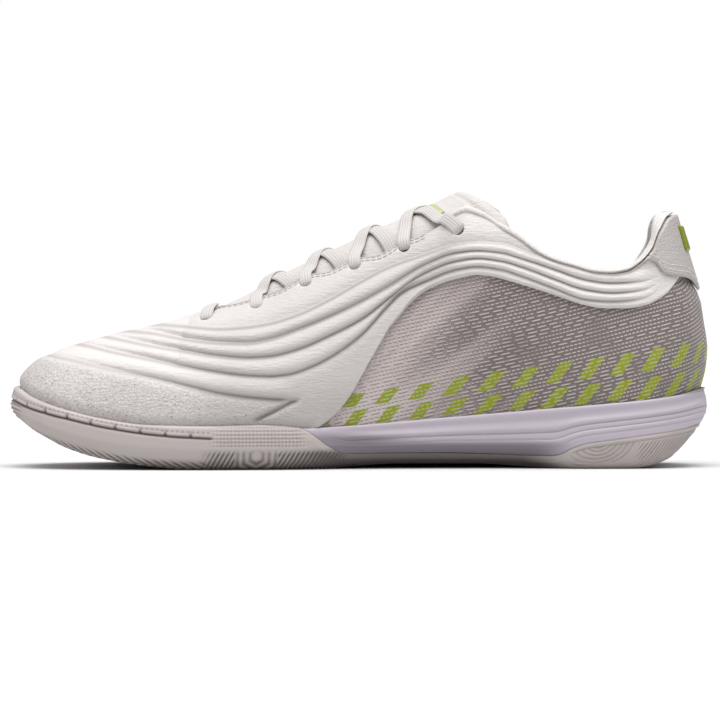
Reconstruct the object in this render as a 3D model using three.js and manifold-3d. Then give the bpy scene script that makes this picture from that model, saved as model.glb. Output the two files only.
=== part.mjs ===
// Indoor soccer shoe, right foot, men's US 9, standing empty on its own sole.
// Frame: millimetres, +Z up, toe towards -X, heel towards +X, the inner (big toe) side towards -Y.
// The origin is the middle of the shoe's bounding box, on the floor.
//
// Every piece is worked out from one last: a plan outline of the sole, a few heights along the
// shoe, and for each section a curve that rises from the footbed to the crest, throat or collar.
import * as THREE from "three";
import { mergeVertices } from "three/addons/utils/BufferGeometryUtils.js";
import Module from "manifold-3d";

const wasm = await Module();
wasm.setup();

// Driving dimensions
const shoeLength = 292;
const ballWidth = 104;
const heelWidth = 77.5;
const heelHeight = 105;
const instepHeight = 105.7;
const vampHeight = 63;
const heelStack = 33;
const ballStack = 17.6;
const footbedHeel = 22;
const footbedBall = 10.5;

const clearance = 0.3;
const upperWall = 2;
const leatherWall = 1.5;
const leatherStep = 0.4;
const ribRelief = 1.6;
const panelRelief = 0.6;
const tabWall = 1.2;
const tabGap = 0.5;
const badgeWall = 0.8;
const rimWall = 3;
const outsoleFloor = 4.4;
const outsoleWall = 2.7;
const insoleThickness = 3.5;
const tongueThickness = 4;
const liningThickness = 6;
const liningGap = 0.5;
const liningHeight = 3.4;
const liningDepth = 0.24;
const eyeletDiameter = 5;
const drillLength = 14;
const laceWidth = 6.5;
const laceThickness = 1.2;
const laceSteps = 9;
const laceDive = 0.6;
const grooveDepth = 1.5;
const grooveWidth = 2;
const zigzagSwing = 2.5;
const insoleEase = 0.6;
const valleyGap = 1;
const panelBlend = 4;
const heelRollLoss = 0.5;
const cutMargin = 20;

// The throat starts and ends at these shares of the length; the collar padding starts near its top.
const throatStart = 0.268;
const liningStart = 0.625;

// Plan outline of the sole and the shape of each section, from toe to heel.
// along: share of the length; medial, lateral: from the long axis outwards, as shares of the width in "of".
// crestAt: where the section's top lies, as a share of the length.
// flare, roof: degrees from the vertical at the foot and at the top.
// rise, reach: how far those directions hold, as shares of the straight line from foot to top.
const sections = [
  // along, of, medial, lateral, crestAt, flare, rise, roof, reach
  [0.0, ballWidth, 0.087, -0.087, 0.15, 2, 0.3, 90, 0.5],
  [0.01, ballWidth, 0.231, 0.072, 0.153, 2, 0.3, 90, 0.5],
  [0.03, ballWidth, 0.327, 0.154, 0.16, 3, 0.3, 90, 0.48],
  [0.07, ballWidth, 0.409, 0.26, 0.176, 4, 0.31, 90, 0.46],
  [0.13, ballWidth, 0.464, 0.351, 0.205, 4, 0.32, 90, 0.44],
  [0.2, ballWidth, 0.492, 0.423, 0.245, 4, 0.33, 90, 0.42],
  [0.28, ballWidth, 0.5, 0.471, 0.3, 3, 0.33, 84, 0.4],
  [0.36, ballWidth, 0.479, 0.497, 0.366, 3, 0.33, 70, 0.38],
  [0.43, ballWidth, 0.438, 0.5, 0.432, 3, 0.33, 60, 0.37],
  [0.5, ballWidth, 0.385, 0.484, 0.5, 4, 0.33, 52, 0.36],
  [0.58, heelWidth, 0.465, 0.6, 0.578, 5, 0.33, 44, 0.35],
  [0.66, heelWidth, 0.446, 0.55, 0.655, 7, 0.33, 34, 0.34],
  [0.75, heelWidth, 0.465, 0.519, 0.74, 9, 0.33, 22, 0.33],
  [0.83, heelWidth, 0.488, 0.51, 0.815, 10, 0.33, 15, 0.33],
  [0.9, heelWidth, 0.468, 0.485, 0.875, 11, 0.33, 14, 0.33],
  [0.95, heelWidth, 0.39, 0.405, 0.916, 13, 0.33, 14, 0.33],
  [0.98, heelWidth, 0.265, 0.277, 0.937, 15, 0.33, 15, 0.34],
  [1.0, heelWidth, -0.006, 0.006, 0.946, 16, 0.33, 16, 0.35],
].map(([along, of, medial, lateral, crestAt, flare, rise, roof, reach]) => {
  return { along, of, medial, lateral, crestAt, flare, rise, roof, reach };
});
const lastSection = sections.length - 1;

// Monotone cubic curve through [at, value] pairs.
function curve(points) {
  const x = points.map((p) => p[0]);
  const y = points.map((p) => p[1]);
  const n = x.length;
  const rate = x.slice(1).map((v, i) => (y[i + 1] - y[i]) / (v - x[i]));
  const slope = x.map((_, i) => {
    if (i === 0) return rate[0];
    if (i === n - 1) return rate[n - 2];
    if (rate[i - 1] * rate[i] <= 0) return 0;
    return (2 * rate[i - 1] * rate[i]) / (rate[i - 1] + rate[i]);
  });
  return (at) => {
    if (at <= x[0]) return y[0];
    if (at >= x[n - 1]) return y[n - 1];
    let i = 0;
    while (at > x[i + 1]) i += 1;
    const h = x[i + 1] - x[i];
    const f = (at - x[i]) / h;
    const g = 1 - f;
    return (
      y[i] * (1 + 2 * f) * g * g +
      y[i + 1] * f * f * (3 - 2 * f) +
      h * (slope[i] * f * g * g - slope[i + 1] * f * f * g)
    );
  };
}

// Heights along the shoe, from the floor. Each value is a share of the size it is multiplied by.
const scaled = (points, size) => curve(points.map(([at, share]) => [at, share * size]));
const rimFront = scaled([
  [0, 1.9], [0.01, 1.82], [0.03, 1.66], [0.07, 1.44], [0.13, 1.2], [0.2, 1.04], [0.28, 1.01],
  [0.36, 1.03], [0.43, 0.965],
], ballStack);
const rimBack = scaled([
  [0.43, 0.515], [0.5, 0.55], [0.58, 0.61], [0.66, 0.67], [0.75, 0.74], [0.83, 0.8], [0.9, 0.855],
  [0.95, 0.91], [1, 1],
], heelStack);
const rimHeight = (along) => (along < 0.43 ? rimFront(along) : rimBack(along));
const treadHeight = scaled([
  [0, 1.08], [0.01, 0.98], [0.03, 0.8], [0.07, 0.53], [0.13, 0.26], [0.2, 0.085], [0.27, 0],
  [0.45, 0], [0.56, 0.1], [0.66, 0.1], [0.77, 0], [0.89, 0], [0.95, 0.22], [0.98, 0.56], [1, 1.02],
], ballStack);
const footbedFront = scaled([
  [0, 2.6], [0.01, 2.5], [0.03, 2.26], [0.07, 1.86], [0.13, 1.4], [0.2, 1.1], [0.28, 0.98],
  [0.36, 1], [0.43, 1.06],
], footbedBall);
const footbedBack = scaled([
  [0.43, 0.506], [0.5, 0.6], [0.58, 0.71], [0.66, 0.82], [0.75, 0.91], [0.83, 0.96], [0.9, 0.99],
  [1, 1.04],
], footbedHeel);
const footbedHeight = (along) => (along < 0.43 ? footbedFront(along) : footbedBack(along));

// The line between outsole and midsole on the side of the sole.
const seamHeight = scaled([
  [0, 2.3], [0.4, 1.5], [0.413, 1.0], [0.426, 0.9], [0.44, 0.74], [0.456, 0.55], [0.485, 0.36],
  [0.6, 0.36], [0.77, 0.3], [0.785, 0.36], [0.8, 0.49], [0.82, 0.6], [0.84, 0.65], [0.89, 0.76],
  [0.95, 0.9], [1, 1.06],
], ballStack);

// Top line: the crest of the vamp, then the throat's edge, the collar and the back of the heel.
const crestFront = scaled([
  [0, 0.7], [0.15, 0.86], [0.2, 0.905], [0.24, 0.955], [0.268, 0.995],
], vampHeight);
const edgeFront = scaled([
  [0.268, 0.593], [0.29, 0.606], [0.357, 0.65], [0.426, 0.738], [0.495, 0.808], [0.565, 0.88],
  [0.614, 0.94], [0.632, 0.978], [0.65, 1],
], instepHeight);
const collarMedial = scaled([
  [0.65, 1.0067], [0.678, 0.978], [0.7, 0.936], [0.72, 0.905], [0.754, 0.84], [0.771, 0.816],
  [0.804, 0.789], [0.833, 0.767], [0.855, 0.763], [0.878, 0.773], [0.899, 0.81], [0.914, 0.86],
  [0.924, 0.93], [0.935, 0.985], [0.946, 1],
], heelHeight);
const collarDrop = curve([[0.65, 0], [0.72, 1.2], [0.8, 2.6], [0.87, 2.6], [0.92, 0.8], [0.946, 0]]);
function topHeight(along, side) {
  if (along <= throatStart) return crestFront(along);
  if (along <= 0.65) return edgeFront(along);
  return collarMedial(along) - (side > 0 ? collarDrop(along) : 0);
}
const crestSlope = (along) => (crestFront(along + 0.004) - crestFront(along - 0.004)) / (0.008 * shoeLength);

// Half the width of the throat and of the collar's mouth, and the line that they are measured from.
const openFront = scaled([
  [throatStart, 0], [0.276, 0.04], [0.29, 0.064], [0.357, 0.105], [0.426, 0.125], [0.495, 0.144],
  [0.565, 0.163], [0.614, 0.183],
], ballWidth);
const openBack = scaled([
  [0.614, 0.245], [0.65, 0.29], [0.7, 0.325], [0.754, 0.355], [0.804, 0.37], [0.855, 0.36],
  [0.899, 0.315], [0.923, 0.245], [0.935, 0.16], [0.946, 0],
], heelWidth);
const openHalf = (along) => (along < 0.614 ? openFront(along) : openBack(along));
const axisLine = scaled([
  [0.15, -0.077], [0.27, -0.058], [0.45, -0.029], [0.65, -0.01], [0.85, 0], [0.946, 0.004],
], ballWidth);

// Lower edge of the leather on the knitted quarter, and the valleys between its ribs, as seen from the side.
const leatherEdge = scaled([
  [0.44, 0.16], [0.463, 0.208], [0.48, 0.264], [0.493, 0.32], [0.511, 0.408], [0.529, 0.492],
  [0.542, 0.552], [0.555, 0.594], [0.571, 0.648], [0.594, 0.7], [0.617, 0.729], [0.64, 0.749],
  [0.663, 0.762], [0.685, 0.756], [0.708, 0.74], [0.742, 0.712], [0.777, 0.68], [0.816, 0.644],
  [0.846, 0.63], [0.875, 0.63], [0.905, 0.642], [0.934, 0.684], [0.96, 0.765], [1, 0.775],
], heelHeight);
const ribValleys = [
  [
    [0, 0.56], [0.2, 0.565], [0.25, 0.558], [0.3, 0.548], [0.33, 0.552], [0.37, 0.568],
    [0.413, 0.605], [0.456, 0.662], [0.5, 0.732], [0.54, 0.79], [0.593, 0.842], [0.64, 0.883],
    [0.665, 0.89], [0.7, 0.884], [0.73, 0.858], [0.75, 0.836], [0.775, 0.822], [0.85, 0.775],
    [0.93, 0.79],
  ],
  [
    [0, 0.54], [0.15, 0.54], [0.2, 0.532], [0.25, 0.508], [0.3, 0.493], [0.34, 0.491],
    [0.37, 0.504], [0.413, 0.545], [0.456, 0.594], [0.5, 0.652], [0.54, 0.712], [0.593, 0.797],
    [0.64, 0.846], [0.665, 0.853], [0.7, 0.844], [0.73, 0.82], [0.775, 0.781], [0.82, 0.74],
    [0.855, 0.728], [0.9, 0.735], [0.95, 0.79],
  ],
  [
    [0, 0.53], [0.1, 0.53], [0.15, 0.51], [0.2, 0.483], [0.25, 0.461], [0.3, 0.441], [0.34, 0.433],
    [0.37, 0.438], [0.413, 0.468], [0.456, 0.52], [0.5, 0.582], [0.54, 0.661], [0.593, 0.764],
    [0.64, 0.814], [0.665, 0.824], [0.7, 0.812], [0.73, 0.788], [0.775, 0.742], [0.82, 0.701],
    [0.855, 0.689], [0.9, 0.7], [0.95, 0.78],
  ],
  [
    [0, 0.52], [0.07, 0.498], [0.11, 0.482], [0.15, 0.457], [0.2, 0.43], [0.25, 0.402],
    [0.3, 0.379], [0.34, 0.366], [0.37, 0.363], [0.4, 0.372], [0.43, 0.4], [0.456, 0.436],
    [0.5, 0.522], [0.54, 0.64], [0.56, 0.692], [0.593, 0.735], [0.64, 0.784], [0.665, 0.794],
    [0.7, 0.781], [0.73, 0.754], [0.775, 0.708], [0.82, 0.664], [0.855, 0.657], [0.9, 0.668],
    [0.95, 0.775],
  ],
  [
    [0, 0.47], [0.052, 0.445], [0.11, 0.414], [0.14, 0.394], [0.185, 0.368], [0.23, 0.343],
    [0.26, 0.325], [0.3, 0.3], [0.34, 0.284], [0.39, 0.274], [0.42, 0.274], [0.45, 0.28],
  ],
].map((points) => scaled(points, heelHeight));
const ribFadeFrom = 0.86;
const ribFadeTo = 0.93;
const lowRibEnd = 0.42;
const leatherFrom = 0.44;
const tabEdge = scaled([
  [0.9, 0.83], [0.908, 0.816], [0.917, 0.805], [0.927, 0.771], [0.941, 0.754], [0.958, 0.747],
  [0.968, 0.736], [0.976, 0.709], [0.984, 0.678], [1, 0.67],
], heelHeight);
const tabFrom = 0.9;
const badgeSpan = 0.55;
const badgeBottom = 0.85;
const badgeTop = 0.95;

const radians = THREE.MathUtils.degToRad;
const column = (name) => curve(sections.map((s, i) => [i, s[name]]));
const shape = {
  crestAt: column("crestAt"),
  flare: column("flare"),
  rise: column("rise"),
  roof: column("roof"),
  reach: column("reach"),
};

// Plan outline as a closed loop: up the medial side from toe to heel, back down the lateral side.
const outline = [
  ...sections.map((s) => [s.along * shoeLength, -s.medial * s.of]),
  ...sections.slice(1, -1).reverse().map((s) => [s.along * shoeLength, s.lateral * s.of]),
];
const onLoop = (i) => outline[(i + outline.length) % outline.length];
const knot = (i) => Math.sqrt(Math.hypot(onLoop(i + 1)[0] - onLoop(i)[0], onLoop(i + 1)[1] - onLoop(i)[1]));

// Point and direction of travel on the outline at section k (a fraction falls between two sections).
function planPoint(k, side) {
  const at = side < 0 ? k : outline.length - k;
  const i = Math.floor(at);
  const f = at - i;
  const g = 1 - f;
  const tangent = (j) => {
    const [a, b] = [knot(j - 1), knot(j)];
    return [0, 1].map((c) => {
      const before = (onLoop(j)[c] - onLoop(j - 1)[c]) / a;
      const after = (onLoop(j + 1)[c] - onLoop(j)[c]) / b;
      return (before * b + after * a) / (a + b);
    });
  };
  const [m0, m1, h] = [tangent(i), tangent(i + 1), knot(i)];
  const value = [0, 1].map(
    (c) =>
      onLoop(i)[c] * (1 + 2 * f) * g * g +
      onLoop(i + 1)[c] * f * f * (3 - 2 * f) +
      h * (m0[c] * f * g * g - m1[c] * f * f * g),
  );
  const speed = [0, 1].map(
    (c) =>
      (onLoop(i + 1)[c] - onLoop(i)[c]) * 6 * f * g +
      h * (m0[c] * (1 - 4 * f + 3 * f * f) + m1[c] * (3 * f * f - 2 * f)),
  );
  const length = Math.hypot(...speed);
  return { x: value[0], y: value[1], outX: speed[1] / length, outY: -speed[0] / length };
}

// The outline moved inwards by a distance, at a height.
function insetPoint(k, side, inset, z) {
  const p = planPoint(k, side);
  return new THREE.Vector3(p.x - p.outX * inset, p.y - p.outY * inset, z);
}
const alongOf = (k) => curve(sections.map((s, i) => [i, s.along]))(k);

// Control points of the section curve at k: footbed, flare, roof and top.
function sectionCurve(k, side) {
  const along = alongOf(k);
  const foot = insetPoint(k, side, rimWall + clearance, footbedHeight(along) + clearance);
  const at = shape.crestAt(k);
  const top = new THREE.Vector3(at * shoeLength, axisLine(at) + side * openHalf(at), topHeight(at, side));
  const out = new THREE.Vector3(foot.x - top.x, foot.y - top.y, 0).normalize();
  const span = foot.distanceTo(top);
  const flare = radians(shape.flare(k));
  const roof = radians(shape.roof(k));
  const slope = at <= throatStart ? crestSlope(at) : 0;
  const low = out.clone().multiplyScalar(Math.sin(flare)).setZ(Math.cos(flare));
  const lean = Math.sin(roof);
  const high = out.clone().multiplyScalar(lean).setZ(out.x * lean * slope - Math.cos(roof));
  return new THREE.CubicBezierCurve3(
    foot,
    foot.clone().addScaledVector(low, shape.rise(k) * span),
    top.clone().addScaledVector(high, shape.reach(k) * span),
    top,
  );
}

// Where a section curve first rises above a line drawn on the side view, as a share of the curve.
function shareAtLine(section, line) {
  const above = (t) => {
    const p = section.getPoint(t);
    return p.z - line(p.x / shoeLength);
  };
  if (above(0) >= 0) return 0;
  if (above(1) <= 0) return 1;
  let [low, high] = [0, 1];
  for (let i = 0; i < 24; i += 1) {
    const middle = (low + high) / 2;
    if (above(middle) < 0) low = middle;
    else high = middle;
  }
  return high;
}

// Triangles of a grid of points, with corners that fall together joined and flat faces dropped.
function triangles(rows) {
  const faces = [];
  for (let i = 0; i < rows.length - 1; i += 1) {
    const [a, b] = [rows[i], rows[i + 1]];
    for (let j = 0; j < a.length - 1; j += 1) {
      faces.push([a[j], b[j], b[j + 1]], [a[j], b[j + 1], a[j + 1]]);
    }
  }
  return faces;
}

function weld(faces, tolerance = 1e-3) {
  const points = faces.flat();
  const positions = new Float32Array(points.flatMap((p) => [p.x, p.y, p.z]));
  const lifts = new Float32Array(points.map((p) => p.lift ?? 0));
  const loose = new THREE.BufferGeometry();
  loose.setAttribute("position", new THREE.BufferAttribute(positions, 3));
  loose.setAttribute("lift", new THREE.BufferAttribute(lifts, 1));
  const merged = mergeVertices(loose, tolerance);
  const kept = [];
  for (let i = 0; i < merged.index.count; i += 3) {
    const [a, b, c] = [0, 1, 2].map((j) => merged.index.getX(i + j));
    if (a !== b && b !== c && c !== a) kept.push(a, b, c);
  }
  merged.setIndex(kept);
  return merged;
}

// A closed wall on an open sheet: the sheet moved to two distances along its normals and joined at its edges.
// What each point of the sheet is raised by comes on top of the far distance, or of both.
function thicken(sheet, near, far, raiseBoth = false) {
  sheet.computeVertexNormals();
  const position = sheet.getAttribute("position");
  const normal = sheet.getAttribute("normal");
  const lift = sheet.getAttribute("lift");
  const count = position.count;
  const both = new Float32Array(count * 6);
  for (let i = 0; i < count; i += 1) {
    const p = new THREE.Vector3().fromBufferAttribute(position, i);
    const n = new THREE.Vector3().fromBufferAttribute(normal, i);
    p.clone().addScaledVector(n, far + lift.getX(i)).toArray(both, i * 3);
    p.clone().addScaledVector(n, near + (raiseBoth ? lift.getX(i) : 0)).toArray(both, (count + i) * 3);
  }
  const index = [];
  const edges = new Map();
  for (let i = 0; i < sheet.index.count; i += 3) {
    const face = [0, 1, 2].map((j) => sheet.index.getX(i + j));
    index.push(...face, face[0] + count, face[2] + count, face[1] + count);
    face.forEach((a, j) => edges.set(`${a},${face[(j + 1) % 3]}`, [a, face[(j + 1) % 3]]));
  }
  for (const [a, b] of edges.values()) {
    if (!edges.has(`${b},${a}`)) index.push(a, a + count, b, b, a + count, b + count);
  }
  const solid = new THREE.BufferGeometry().setAttribute("position", new THREE.BufferAttribute(both, 3));
  solid.setIndex(index);
  return solid;
}

// Solids for cutting and joining.
function toManifold(geometry) {
  const bare = geometry.clone();
  for (const name of ["normal", "uv", "lift"]) bare.deleteAttribute(name);
  const merged = mergeVertices(bare, 1e-4);
  return new wasm.Manifold(
    new wasm.Mesh({
      numProp: 3,
      vertProperties: merged.getAttribute("position").array,
      triVerts: new Uint32Array(merged.index.array),
    }),
  );
}

function fromManifold(solid) {
  const mesh = solid.getMesh();
  const geometry = new THREE.BufferGeometry();
  geometry.setAttribute("position", new THREE.BufferAttribute(new Float32Array(mesh.vertProperties), 3));
  geometry.setIndex(new THREE.BufferAttribute(new Uint32Array(mesh.triVerts), 1));
  return geometry;
}

function spaced(from, to, steps) {
  return Array.from({ length: steps + 1 }, (_, i) => from + ((to - from) * i) / steps);
}

// Section numbers where the top of the section lies at a share of the length.
function sectionAtCrest(along) {
  let [low, high] = [0, lastSection];
  for (let i = 0; i < 40; i += 1) {
    const middle = (low + high) / 2;
    if (shape.crestAt(middle) < along) low = middle;
    else high = middle;
  }
  return high;
}
const throatSection = sectionAtCrest(throatStart);
const liningSection = sectionAtCrest(liningStart);
const tabSection = sectionAtCrest(tabFrom);
const stations = [...spaced(0, throatSection, 9), ...spaced(throatSection, lastSection, 18).slice(1)];

// A sheet on the last. Each section's row of points comes from shares of its curve.
function lastSheet(stationList, rowOf) {
  const medial = stationList.map((k) => rowOf(k, -1));
  const lateral = [...stationList].reverse().map((k) => rowOf(k, 1));
  return weld([...triangles(medial), ...triangles(lateral)]);
}

function raisedPoint(section, t, lift) {
  const point = section.getPoint(t);
  point.lift = lift(point);
  return point;
}

// Heights of the five rib valleys on a section, lowest first.
// Behind the toe panel the lowest is the leather's edge.
function valleyHeights(along) {
  const [first, second, third, fourth, fifth] = ribValleys.map((valley) => valley(along));
  const quarter = THREE.MathUtils.smoothstep(along, lowRibEnd - 0.05, lowRibEnd);
  const edge = fifth * (1 - quarter) + (leatherEdge(along) + valleyGap) * quarter;
  const lowest = Math.min(edge, fourth - valleyGap);
  return [lowest, fourth, third, second, first];
}

// Relief of the leather: a half-round pillow between two valleys, and a flat panel below and above them.
function ribHeight(p) {
  const along = p.x / shoeLength;
  const levels = valleyHeights(along);
  const fade = ribRelief * (1 - THREE.MathUtils.smoothstep(along, ribFadeFrom, ribFadeTo));
  for (let i = 0; i < levels.length - 1; i += 1) {
    if (p.z >= levels[i] && p.z <= levels[i + 1]) {
      const q = (p.z - levels[i]) / (levels[i + 1] - levels[i]);
      return fade * (1 - Math.abs(2 * q - 1) ** 2.2);
    }
  }
  const away = p.z > levels[4] ? p.z - levels[4] : levels[0] - p.z;
  return fade * panelRelief * Math.min(1, away / panelBlend);
}
const leatherLift = (p) => leatherWall + ribHeight(p);

// Shares of the section curve at its columns: knit, the step to the leather, then the ribs' valleys and crowns.
function upperColumns(section, k) {
  const rim = aboveRim(section, k);
  const drawn = THREE.MathUtils.clamp(shareAtLine(section, leatherEdge), rim, 0.97);
  const edge = alongOf(k) < leatherFrom ? rim : drawn;
  const step = Math.min(edge + leatherStep / section.getLength(), 0.985);
  const valleys = [0, 1, 2, 3, 4].map((i) =>
    Math.max(step, shareAtLine(section, (along) => valleyHeights(along)[i])),
  );
  const marks = [step, (2 * step + valleys[0]) / 3, (step + 2 * valleys[0]) / 3];
  valleys.forEach((t, i) => marks.push(t, (t + (valleys[i + 1] ?? 1)) / 2));
  return { knit: spaced(0, edge, 3), leather: [...marks, 1] };
}

// Where the section leaves the sole's cup.
const aboveRim = (section, k) => shareAtLine(section, () => rimHeight(alongOf(k)) + 2 * clearance);

// Row of points on the upper, up to a distance past its top edge where the edge is free.
function upperRow(k, side, beyond = 0) {
  const section = sectionCurve(k, side);
  const { knit, leather } = upperColumns(section, k);
  const isFree = shape.crestAt(k) > throatStart && k < lastSection;
  const over = isFree ? beyond / section.getLength() : 0;
  return [
    ...knit.map((t) => raisedPoint(section, t, () => 0)),
    ...leather.map((t) => raisedPoint(section, t === 1 ? 1 + over : t, leatherLift)),
  ];
}

const upperSheet = (beyond) => lastSheet(stations, (k, side) => upperRow(k, side, beyond));

// Eyelets, as seen from the side: share of the length and of the instep's height.
const eyelets = [
  [0.29, 0.575],
  [0.356, 0.618],
  [0.426, 0.708],
  [0.495, 0.778],
  [0.565, 0.852],
  [0.64, 0.925],
].map(([along, height]) => ({ along, z: height * instepHeight }));

function eyeletPlace({ along, z }, side) {
  const k = sectionAtCrest(along);
  const section = sectionCurve(k, side);
  return surfacePlace(k, side, shareAtLine(section, () => z));
}

// A point of the section curve with the surface's outward direction there.
function surfacePlace(k, side, t) {
  const section = sectionCurve(k, side);
  const point = section.getPoint(t);
  const ahead = sectionCurve(Math.min(k + 0.15, lastSection), side).getPoint(t);
  const behind = sectionCurve(Math.max(k - 0.15, 0), side).getPoint(t);
  const normal = new THREE.Vector3().crossVectors(ahead.sub(behind), section.getTangent(t));
  return { point, normal: normal.multiplyScalar(-side).normalize() };
}

function eyeletHoles() {
  return eyelets.flatMap((eyelet) =>
    [-1, 1].map((side) => {
      const { point, normal } = eyeletPlace(eyelet, side);
      const drill = new THREE.CylinderGeometry(eyeletDiameter / 2, eyeletDiameter / 2, drillLength, 8);
      const turn = new THREE.Quaternion().setFromUnitVectors(new THREE.Vector3(0, 1, 0), normal);
      drill.applyQuaternion(turn).translate(point.x, point.y, point.z);
      return toManifold(drill);
    }),
  );
}

function upperGeometry() {
  const wall = toManifold(thicken(upperSheet(0), -upperWall, 0));
  return fromManifold(eyeletHoles().reduce((solid, hole) => solid.subtract(hole), wall));
}

// The upper without its eyelets and swollen by the clearance, which the pieces that touch it are cut with.
const upperEnvelope = toManifold(thicken(upperSheet(clearance), -upperWall - clearance, clearance));

// The heel tab lies over the leather at the back of the collar, and the badge on the tab.
function heelTabGeometry() {
  const sheet = lastSheet([tabSection, ...stations.filter((k) => k > tabSection)], (k, side) => {
    const section = sectionCurve(k, side);
    const edge = Math.min(shareAtLine(section, tabEdge), 0.985);
    return spaced(edge, 1, 4).map((t) => raisedPoint(section, t, leatherLift));
  });
  return thicken(sheet, tabGap, tabGap + tabWall, true);
}

function heelBadgeGeometry() {
  const sheet = lastSheet(spaced(lastSection - badgeSpan, lastSection, 3), (k, side) => {
    const section = sectionCurve(k, side);
    const shareAt = (share) => shareAtLine(section, () => share * heelHeight);
    const [low, high] = [badgeBottom, badgeTop].map(shareAt);
    return spaced(low, high, 2).map((t) => raisedPoint(section, t, leatherLift));
  });
  const under = tabGap + tabWall + clearance;
  return thicken(sheet, under, under + badgeWall, true);
}

// Cross-section of the collar's padding. down: from the top edge, as a share of the section curve;
// depth: inwards, as a share of the padding; lift: above the top edge, as a share of the roll's height.
const paddingProfile = [
  { down: liningDepth, depth: 0, lift: 0 },
  { down: liningDepth / 2, depth: 0, lift: 0 },
  { down: 0, depth: 0, lift: 0.15 },
  { down: 0, depth: 0.1, lift: 0.65 },
  { down: 0, depth: 0.4, lift: 1 },
  { down: 0, depth: 0.75, lift: 0.75 },
  { down: 0, depth: 1, lift: 0 },
  { down: liningDepth / 2, depth: 0.85, lift: 0 },
  { down: liningDepth, depth: 0.3, lift: 0 },
];

// Padded lining: follows the inside of the collar from one side of the throat round the heel to the other.
function liningSolid(swell) {
  const list = stations.filter((k) => k >= liningSection);
  const ring = (k, side) => {
    const section = sectionCurve(k, side);
    const along = shape.crestAt(k);
    const thickness = liningThickness * THREE.MathUtils.clamp((along - liningStart) / 0.08, 0.35, 1);
    const roll = liningHeight * (1 - heelRollLoss * THREE.MathUtils.smoothstep(along, 0.86, 0.91));
    return paddingProfile.map(({ down, depth, lift }) => {
      const { point, normal } = surfacePlace(k, side, 1 - down);
      const up = section.getTangent(1 - down);
      const inwards = upperWall + liningGap + depth * thickness + (depth > 0 ? swell : -swell);
      return point.addScaledVector(normal, -inwards).addScaledVector(up, lift * (roll + swell));
    });
  };
  const rings = [...list.map((k) => ring(k, -1)), ...[...list].reverse().slice(1).map((k) => ring(k, 1))];
  return toManifold(loft(rings));
}

// A solid through closed rings of points, with flat ends where the rings don't close by themselves.
function loft(rings) {
  const faces = [];
  const count = rings[0].length;
  for (let i = 0; i < rings.length - 1; i += 1) {
    for (let j = 0; j < count; j += 1) {
      const [a, b] = [rings[i][j], rings[i + 1][j]];
      const [c, d] = [rings[i + 1][(j + 1) % count], rings[i][(j + 1) % count]];
      faces.push([a, b, c], [a, c, d]);
    }
  }
  const cap = (ring, turn) => {
    const centre = ring.reduce((sum, p) => sum.add(p), new THREE.Vector3()).divideScalar(count);
    ring.forEach((p, j) => {
      const q = ring[(j + 1) % count];
      faces.push(turn ? [centre, q, p] : [centre, p, q]);
    });
  };
  cap(rings[0], false);
  cap(rings[rings.length - 1], true);
  const solid = weld(faces);
  const flipped = toManifold(solid).volume() < 0;
  if (flipped) {
    const index = Array.from(solid.index.array);
    for (let i = 0; i < index.length; i += 3) [index[i], index[i + 1]] = [index[i + 1], index[i]];
    solid.setIndex(index);
  }
  return solid;
}

// Cross-sections of a sole layer: one ring of points for each station, from medial to lateral and back.
function layer(list, medialToLateral) {
  const rings = list.map((k) => medialToLateral(k));
  const faces = [];
  const count = rings[0].length;
  for (let i = 0; i < rings.length - 1; i += 1) {
    for (let j = 0; j < count; j += 1) {
      const [a, b] = [rings[i][j], rings[i + 1][j]];
      const [c, d] = [rings[i + 1][(j + 1) % count], rings[i][(j + 1) % count]];
      faces.push([a, b, c], [a, c, d]);
    }
  }
  return weld(faces);
}
const across = (a, b, steps) => spaced(0, 1, steps).slice(1, -1).map((f) => a.clone().lerp(b, f));

// Side of the sole, from the tread up to the rim: share of the height, inset in millimetres, and depth of the
// moulded grooves of the midsole (back) and of the groove under the toe rim (front).
const wallRows = [
  { level: 0, inset: 5, back: 0, front: 0 },
  { level: 0.1, inset: 2.2, back: 0, front: 0 },
  { level: 0.28, inset: 0.3, back: 0, front: 0 },
  { level: 0.5, inset: -0.5, back: 0.9, front: 0 },
  { level: 0.6, inset: -0.4, back: 0, front: 0 },
  { level: 0.7, inset: -0.3, back: 0.9, front: 0 },
  { level: 0.76, inset: -0.2, back: 0.2, front: 0 },
  { level: 0.79, inset: -0.1, back: 0, front: 0.8 },
  { level: 0.82, inset: 0, back: 0, front: 0 },
  { level: 1, inset: 0.2, back: 0, front: 0 },
];
const waistTuck = curve([[0.4, 0], [0.52, 2.6], [0.7, 2.6], [0.8, 0]]);

function solePoints(k, side) {
  const along = alongOf(k);
  const tread = treadHeight(along);
  const rim = rimHeight(along);
  const back = THREE.MathUtils.smoothstep(along, 0.5, 0.62);
  const front = 1 - THREE.MathUtils.smoothstep(along, 0.2, 0.24);
  const tuck = side < 0 ? waistTuck(along) : 0.4 * waistTuck(along);
  const toeRoll = 1 - THREE.MathUtils.smoothstep(along, 0.02, 0.12);
  const heelRoll = THREE.MathUtils.smoothstep(along, 0.93, 1);
  const roll = 1 + 0.5 * (toeRoll + heelRoll);
  return wallRows.map((row) => {
    const inset = row.inset * roll + row.back * back + row.front * front + tuck * (1 - row.level) ** 2;
    return insetPoint(k, side, inset, tread + row.level * (rim - tread));
  });
}

// The cup's inner face stands off the upper by the clearance.
function cupPoints(k, side) {
  const along = alongOf(k);
  const section = sectionCurve(k, side);
  const rim = rimHeight(along);
  const edge = planPoint(k, side);
  return spaced(0, 1, 2).map((f) => {
    const z = footbedHeight(along) + f * (rim - footbedHeight(along));
    const p = section.getPoint(shareAtLine(section, () => Math.max(z, footbedHeight(along) + clearance)));
    return new THREE.Vector3(p.x + edge.outX * clearance, p.y + edge.outY * clearance, z);
  });
}

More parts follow.
